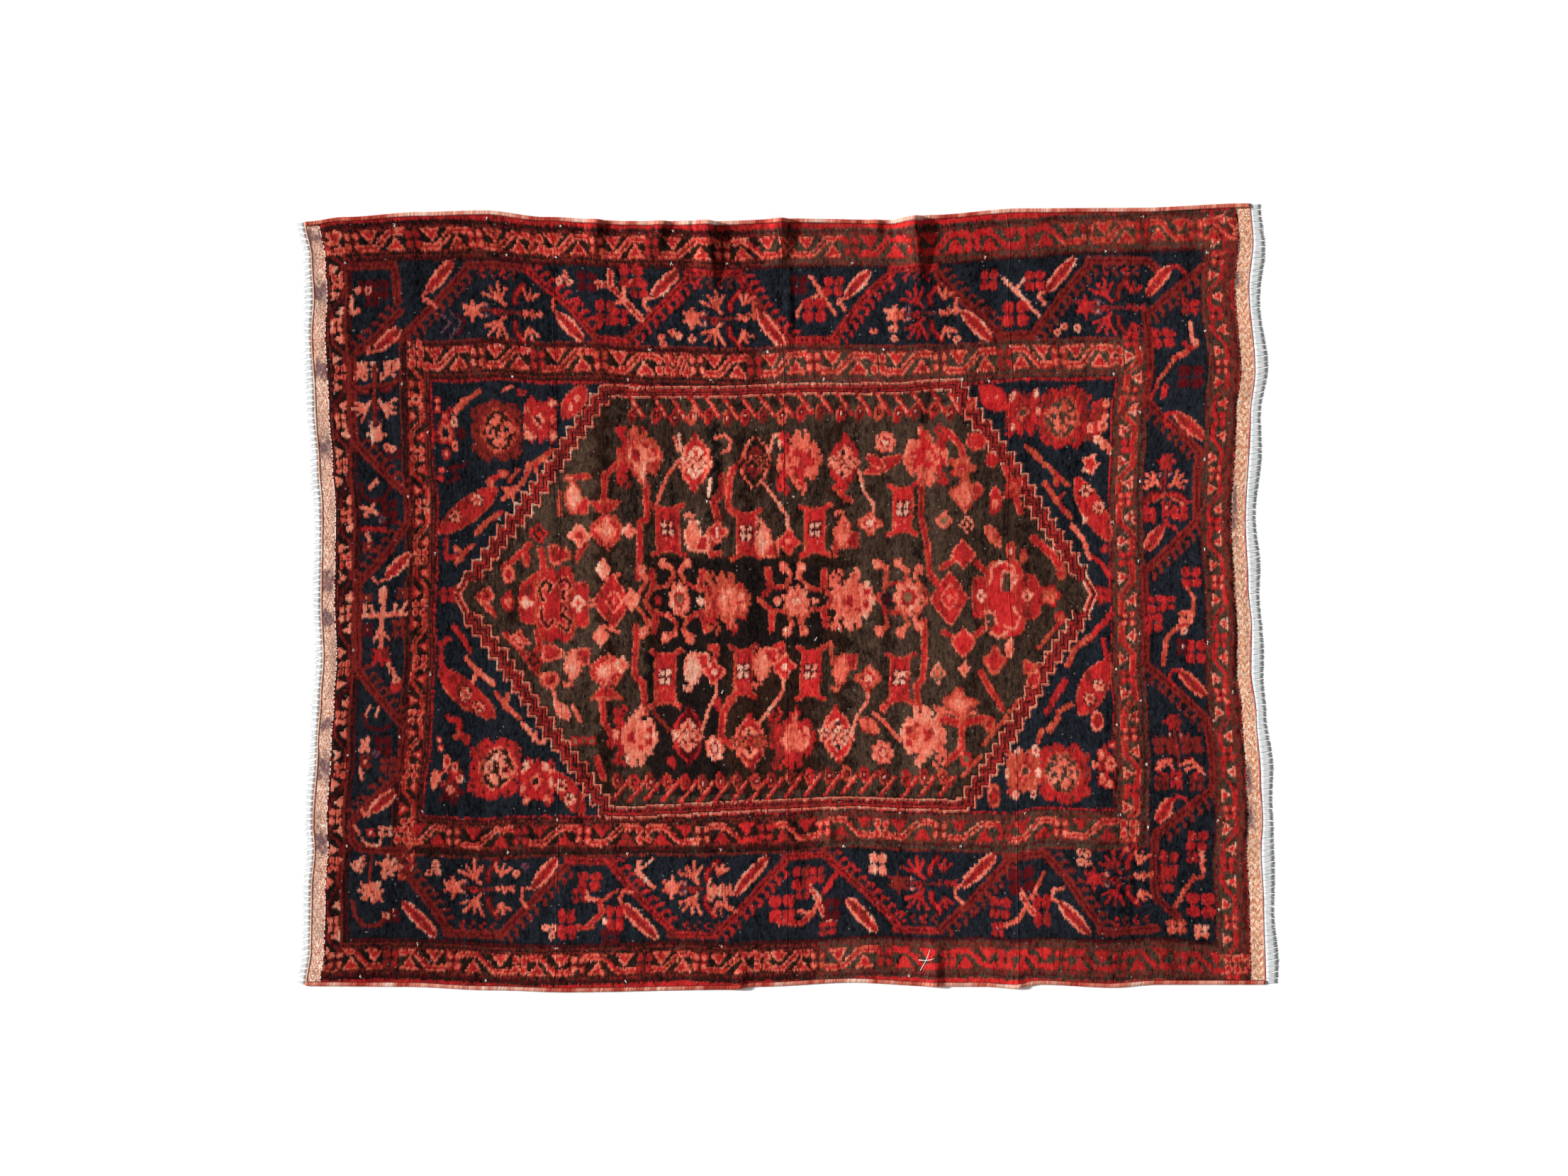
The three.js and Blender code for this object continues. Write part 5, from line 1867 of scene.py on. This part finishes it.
@dataclass
class Fringe:
    """The combed warp ends of one end: fine cotton strands whose tips follow a wavy line."""

    shape: ClothShape
    on_right: bool
    length: float
    phase: float
    spread: float
    thick: float
    shades: tuple[str, ...]
    strands: int = 2000
    stations: int = 4
    seed: int = 11

    def build(self) -> bpy.types.Object:
        """Returns the strands. At share s a strand lies s times its length out, and leans as s squared."""
        rng = np.random.default_rng(self.seed + self.on_right)
        s = self.shape
        v = (np.arange(self.strands) + 0.5) / self.strands * (s.width - 4) + 2
        lock = np.floor(v / s.width * 128)
        centre = (lock + 0.5) * s.width / 128
        sway = np.sin(math.tau * v / 190 + self.phase)
        uneven = rng.normal(0, 0.6 * self.spread, v.shape)
        reach = self.length * (0.9 + 0.1 * np.sin(v / 31 + self.phase) + uneven)
        reach = np.clip(reach, self.length * 0.5, self.length + 2.5)
        share = np.linspace(0, 1, self.stations)[None, :]
        lean = 2.6 * sway + rng.normal(0, 18 * self.spread - 0.5, v.shape)
        gather = 4 * self.spread * (centre - v)
        across = v[:, None] + lean[:, None] * share**2 + gather[:, None] * np.sin(share * math.pi * 0.8)
        curl = 4 * self.spread * rng.normal(0, 1, (len(v), 1))
        across = across + curl * np.sin(share * 5 + rng.uniform(0, 6, (len(v), 1)))
        out = 2.0 + reach[:, None] * share
        u = s.length + out if self.on_right else -out
        up = 0.8 + 5 * self.spread * rng.random((len(v), 1)) * (1 + np.sin(share * 4)) - 0.38 * share**3
        flat = s.place(u, np.clip(across, -1, s.width + 1), 0.0)
        flat[..., 2] = up * MM
        thick = (self.thick * (1 - 0.5 * share**4) * rng.uniform(0.85, 1.15, (len(v), 1))) * MM
        shades = np.array([linear(code) for code in self.shades])
        colours = shades[rng.integers(0, len(shades), len(v))]
        name = "warp_ends_right" if self.on_right else "warp_ends_left"
        return Builder.tubes(name, flat, thick, 3, colours, 0.8)


@dataclass
class Tufts:
    """Bits of white cotton foundation that stand up through the worn pile, and two loose threads."""

    shape: ClothShape
    spots: str
    threads: tuple[Curve, ...]
    fibres: int = 8
    seed: int = 19

    def place(self, i: np.ndarray, j: np.ndarray, up: np.ndarray) -> np.ndarray:
        """Returns points in metres for places counted in knots and heights in mm."""
        s = self.shape
        edge = s.cord_width + s.parting
        u = s.end_width + (s.length - 2 * s.end_width) * i / COLUMNS
        return s.place(u, s.width - edge - (s.width - 2 * edge) * j / ROWS, up)

    def build(self) -> list[bpy.types.Object]:
        """Returns the tufts, each a small sheaf of curling fibres, and the threads."""
        rng = np.random.default_rng(self.seed)
        ((_, places),) = entries(self.spots)
        spots = np.repeat(np.array(places), self.fibres, 0)
        count = len(spots)
        share = np.linspace(0, 1, 4)[None, :]
        angle = rng.uniform(0, math.tau, (count, 1))
        reach = rng.uniform(0.4, 1.25, (count, 1))
        root = spots + rng.normal(0, 0.35, spots.shape)
        i = root[:, :1] + np.cos(angle) * reach * share * 0.8
        j = root[:, 1:] + np.sin(angle) * reach * share * 1.3 + 0.5 * share**2
        up = self.shape.pile - 1.2 + 2.2 * np.sin(share * 2.2) * rng.uniform(0.5, 1.1, (count, 1))
        radii = 0.55 * (1 - 0.6 * share) * rng.uniform(0.7, 1.2, (count, 1)) * MM
        shades = np.array([linear(code) for code in ("fbf7f0", "f1e2d6", "f6cfc0")])
        tone = shades[np.repeat(rng.integers(0, 3, len(places)), self.fibres)]
        made = [Builder.tubes("cotton_tufts", self.place(i, j, up), radii, 4, tone)]
        paths = np.array(self.threads, float)
        up = np.full(paths.shape[:2], self.shape.pile + 0.5)
        radii = np.full(paths.shape[:2], 0.55 * MM)
        white = np.tile(linear("faf6f0"), (len(paths), 1))
        threads = self.place(paths[..., 0], paths[..., 1], up)
        made.append(Builder.tubes("loose_threads", threads, radii, 6, white))
        return made


# The finishes.


def node(tree: bpy.types.NodeTree, kind: str, **settings: object) -> bpy.types.ShaderNode:
    """Adds a node and sets it up.

    Args:
        tree: The material's nodes.
        kind: Type of the node.
        **settings: Attributes of the node, or its inputs by name with spaces as underscores, each a
            value or the output socket that feeds it.
    """
    made = tree.nodes.new(kind)
    for key, value in settings.items():
        if hasattr(made, key):
            setattr(made, key, value)
            continue
        words = key.replace("_", " ").strip()
        socket = made.inputs[words.title() if words.title() in made.inputs else words]
        if isinstance(value, bpy.types.NodeSocket):
            tree.links.new(value, socket)
        else:
            socket.default_value = value
    return made


@dataclass(frozen=True)
class Fibre:
    """A matt fibre finish: the piece's own colours, dyed and with painted shade, streaked by fine fibres and
    faintly glossy.

    Attributes:
        name: The finish.
        grain: Sizes of a streak along x, y and z, in mm.
        contrast: How far a streak darkens or lightens the colour.
        relief: Height of the streaks, in mm.
        sheen: Strength of the bloom of loose fibre ends seen at a low angle.
        rough: Roughness of the fibres.
    """

    name: str
    grain: tuple[float, float, float]
    contrast: float
    relief: float
    sheen: float
    rough: float = 0.92

    def make(self) -> bpy.types.Material:
        """Returns the material."""
        material = bpy.data.materials.new(self.name)
        material.use_nodes = True
        tree = material.node_tree
        tree.nodes.clear()
        place = node(tree, "ShaderNodeTexCoord").outputs["Object"]
        scale = tuple(1 / (size * MM) for size in self.grain)
        fitted = node(tree, "ShaderNodeMapping", Vector=place, Scale=scale).outputs["Vector"]
        noise = node(tree, "ShaderNodeTexNoise", Vector=fitted, Scale=1.0, Detail=2.0, Roughness=0.6)
        streak = noise.outputs["Fac"]
        span = {"From_Min": 0.3, "From_Max": 0.7, "To_Min": 1 - self.contrast, "To_Max": 1 + self.contrast}
        tone = node(tree, "ShaderNodeMapRange", Value=streak, **span)
        dyed = node(tree, "ShaderNodeVertexColor", layer_name="Wool").outputs["Color"]
        colour = node(tree, "ShaderNodeVectorMath", operation="MULTIPLY")
        tree.links.new(dyed, colour.inputs[0])
        tree.links.new(tone.outputs["Result"], colour.inputs[1])
        bump = node(tree, "ShaderNodeBump", Strength=1.0, Distance=self.relief * MM, Height=streak)
        shader = node(tree, "ShaderNodeBsdfPrincipled", Roughness=self.rough, Normal=bump.outputs["Normal"])
        shader.inputs["Specular IOR Level"].default_value = 0.02
        shader.inputs["Sheen Weight"].default_value = self.sheen
        shader.inputs["Sheen Roughness"].default_value = 0.55
        tree.links.new(colour.outputs["Vector"], shader.inputs["Base Color"])
        out = node(tree, "ShaderNodeOutputMaterial")
        tree.links.new(shader.outputs["BSDF"], out.inputs["Surface"])
        return material


@dataclass(frozen=True)
class Plain:
    """An even matt surface, for the studio's floor."""

    name: str
    colour: str

    def make(self) -> bpy.types.Material:
        """Returns the material."""
        material = bpy.data.materials.new(self.name)
        material.use_nodes = True
        shader = material.node_tree.nodes["Principled BSDF"]
        shader.inputs["Base Color"].default_value = (*linear(self.colour), 1)
        shader.inputs["Roughness"].default_value = 1.0
        shader.inputs["Specular IOR Level"].default_value = 0.0
        return material


class Slot(Enum):
    """The material slots."""

    CLOTH = "knotted_cloth"
    CORD = "side_cord"
    FRINGE = "warp_fringe"


@dataclass
class Studio:
    """A pale floor, soft light with its main share from the left, and a camera straight above."""

    pixel: float = PHOTO_PIXEL
    image: tuple[float, float] = (2212, 1659)
    middle: Point = PHOTO_MIDDLE
    lens: float = 90
    towards: tuple[float, float, float] = (-0.85, 0.15, 0.47)
    softness: float = 7
    key: float = 5.3
    sky: float = 0.32

    def build(self) -> None:
        """Adds the floor, the lights and the camera."""
        bpy.ops.mesh.primitive_plane_add(size=14, location=(0, 0, 0))
        floor = bpy.context.object
        floor.name = "floor"
        floor.data.materials.append(Plain("pale floor", "f7f7f7").make())
        world = bpy.data.worlds.new("studio")
        bpy.context.scene.world = world
        bpy.context.scene.view_settings.view_transform = "Standard"
        world.use_nodes = True
        world.node_tree.nodes["Background"].inputs["Color"].default_value = (1, 1, 1, 1)
        world.node_tree.nodes["Background"].inputs["Strength"].default_value = self.sky
        key = bpy.data.lights.new("key", "SUN")
        key.angle = math.radians(self.softness)
        key.energy = self.key
        lamp = bpy.data.objects.new("key", key)
        lamp.rotation_mode = "QUATERNION"
        lamp.rotation_quaternion = (-Vector(self.towards)).to_track_quat("-Z", "Y")
        bpy.context.collection.objects.link(lamp)
        self.camera()

    def camera(self) -> None:
        """Adds the camera: the photo's width at its scale fills the sensor's width."""
        lens = bpy.data.cameras.new("camera")
        lens.lens = self.lens
        lens.sensor_width = 36
        wide = self.image[0] * self.pixel * MM
        eye = bpy.data.objects.new("camera", lens)
        right = (self.image[0] / 2 - self.middle[0]) * self.pixel * MM
        ahead = (self.middle[1] - self.image[1] / 2) * self.pixel * MM
        eye.location = (right, ahead, wide * self.lens / 36)
        lens.clip_end = 50
        bpy.context.collection.objects.link(eye)
        bpy.context.scene.camera = eye


CORD_SECTION: tuple[Point, ...] = (
    (0.3, 0.1),
    (4.4, 0.1),
    (8.3, 0.1),
    (8.95, 2.8),
    (8.3, 5.0),
    (6.4, 6.6),
    (4.0, 7.2),
    (1.6, 7.1),
    (0.2, 6.5),
)
STRIP_SECTION: tuple[Point, ...] = ((0.3, 0.1), (3.7, 0.1), (3.8, 1.5), (2.9, 2.6), (1.3, 2.7), (0.3, 1.8))
# Where cotton shows through the pile, in knots.
SPOTS = """
    50,5 113,2 163,3 239,4 557,3 13,29 123,27 156,25 235,27 273,27 358,28 448,29 530,27 599,30 118,91
    137,92 220,88 300,91 379,89 465,93 553,95 204,109 125,112 260,110 306,113 337,111 431,113 449,116
    534,113 66,152 554,140 556,189 598,85 600,175 535,169 538,217 113,213 50,197 50,117 11,304 11,379
    12,443 46,366 65,322 69,237 64,419 155,421 121,446 202,445 265,443 348,445 427,443 386,420 470,421
    62,513 155,512 266,512 26,536 110,536 203,536 392,536 535,359 537,320 534,422 552,343 553,388
    553,432 555,245 553,296 601,238 600,303 601,358 600,428 600,490 616,338 612,226 257,196 317,195
    346,290 330,297 266,331
"""
THREADS: tuple[Curve, ...] = (
    ((399.5, 532), (402, 527), (404, 522), (405.5, 517)),
    ((398, 524.5), (402, 524.8), (405.5, 524.2), (408.5, 523)),
)

# Stretches of each flat end darkened with painted shade, by their rows in the photo: on the left the shade of
# the puckered band, on the right the shade that the pile's edge casts on the band's inner part.
LEFT_PAINTED_SHADE = (
    *((300, 326), (381, 404), (492, 517), (606, 631), (790, 825), (852, 875)),
    *((1009, 1025), (1061, 1095), (1168, 1200)),
)
RIGHT_PAINTED_SHADE = ((387, 407), (684, 756), (1086, 1118), (1145, 1177))


class RugModel:
    """The whole rug, piece by piece."""

    def __init__(self) -> None:
        """Makes the finishes that the pieces share."""
        self.shape = ClothShape()
        self.wool = Fibre("knotted wool", (0.55, 3.2, 1.2), 0.24, 0.6, 0.008).make()
        self.weave = Fibre("flat-woven wool", (0.9, 0.9, 0.9), 0.16, 0.25, 0.04).make()
        self.yarn = Fibre("wound wool yarn", (0.5, 1.6, 0.6), 0.2, 0.2, 0.04).make()
        self.cotton = Fibre("cotton warps", (1.2, 0.4, 0.6), 0.06, 0.05, 0.2, 0.85).make()

    @staticmethod
    def dress(
        pieces: Iterable[bpy.types.Object], material: bpy.types.Material, slot: Slot, *nodes: str
    ) -> None:
        """Gives pieces their material and place in the frame."""
        for piece in pieces:
            piece.data.materials.append(material)
            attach(piece, "root")
            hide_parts(*nodes)
            LOG.info("%s: %d faces", piece.name, len(piece.data.polygons))

    def cord(self, far: bool) -> WoundCord:
        """Returns the side cord of the far or the near edge."""
        s = self.shape

        def place(along: np.ndarray, across: np.ndarray, up: np.ndarray) -> np.ndarray:
            """Returns points for distances across the cord, from its inner side outwards."""
            v = s.cord_width - across
            return s.place(along, s.width - v if far else v, up)

        shades = ("b03a2c", "d9705b", "eda28b", "f8d0bd")
        return WoundCord(
            "overcast_far" if far else "overcast_near",
            place,
            (0.2, s.length - 0.2),
            CORD_SECTION,
            2.1,
            1.6 if far else -1.6,
            shades,
            23 + far,
            (0, 0, 0, 0, 0, 0, 0, 0.4, 1),
        )

    def strip(self, on_right: bool) -> WoundCord:
        """Returns the twined edge cord that the warp ends come out of."""
        s = self.shape

        def place(along: np.ndarray, across: np.ndarray, up: np.ndarray) -> np.ndarray:
            """Returns points for distances out from the cloth's end."""
            return s.place(s.length + across if on_right else -across, along, up)

        name = "twined_edge_right" if on_right else "twined_edge_left"
        shades = ("d4685e", "e39a8a", "ecc4b5") if on_right else ("c98672", "dba892", "e6c4b4")
        return WoundCord(name, place, (0.5, s.width - 0.5), STRIP_SECTION, 3.1, 1.8, shades, 31 + on_right)

    def build(self) -> None:
        chart = rug_chart()
        ground = GroundSheet(self.shape).build()
        self.dress([ground], self.weave, Slot.CLOTH, "rug")
        pile = Pile(self.shape).build(chart)
        self.dress(pile, self.wool, Slot.CLOTH, "rug")
        bands = [FlatEnd(self.shape, False, LEFT_PAINTED_SHADE).build()]
        bands.append(FlatEnd(self.shape, True, RIGHT_PAINTED_SHADE).build())
        self.dress(bands, self.weave, Slot.CLOTH, "rug")
        tufts = Tufts(self.shape, SPOTS, THREADS).build()
        self.dress(tufts, self.cotton, Slot.CLOTH, "rug")
        cords = [self.cord(True).build(), self.cord(False).build()]
        self.dress(cords[:1], self.yarn, Slot.CORD, "selvedge_top")
        self.dress(cords[1:], self.yarn, Slot.CORD, "selvedge_bottom")
        fringes = []
        fluffy = (False, 25, 2, 0.1, 0.46, ("fafbfa", "eff1f0", "f5f6f3", "e8ecec"))
        combed = (True, 27, 0, 0.045, 0.92, ("d6d9d9", "cdd0d0", "d5d3cf", "c6cacb"))
        for on_right, *looks in (fluffy, combed):
            strip = self.strip(on_right).build()
            ends = Fringe(self.shape, on_right, *looks).build()
            self.dress([strip], self.yarn, Slot.FRINGE, "fringe_right" if on_right else "fringe_left")
            self.dress([ends], self.cotton, Slot.FRINGE, "fringe_right" if on_right else "fringe_left")
            fringes += [strip, ends]


def main() -> None:
    """Builds the rug and the studio."""
    logging.basicConfig(level=logging.INFO, format="%(message)s")
    RugModel().build()
    Studio().build()


if __name__ == "__main__":
    main()
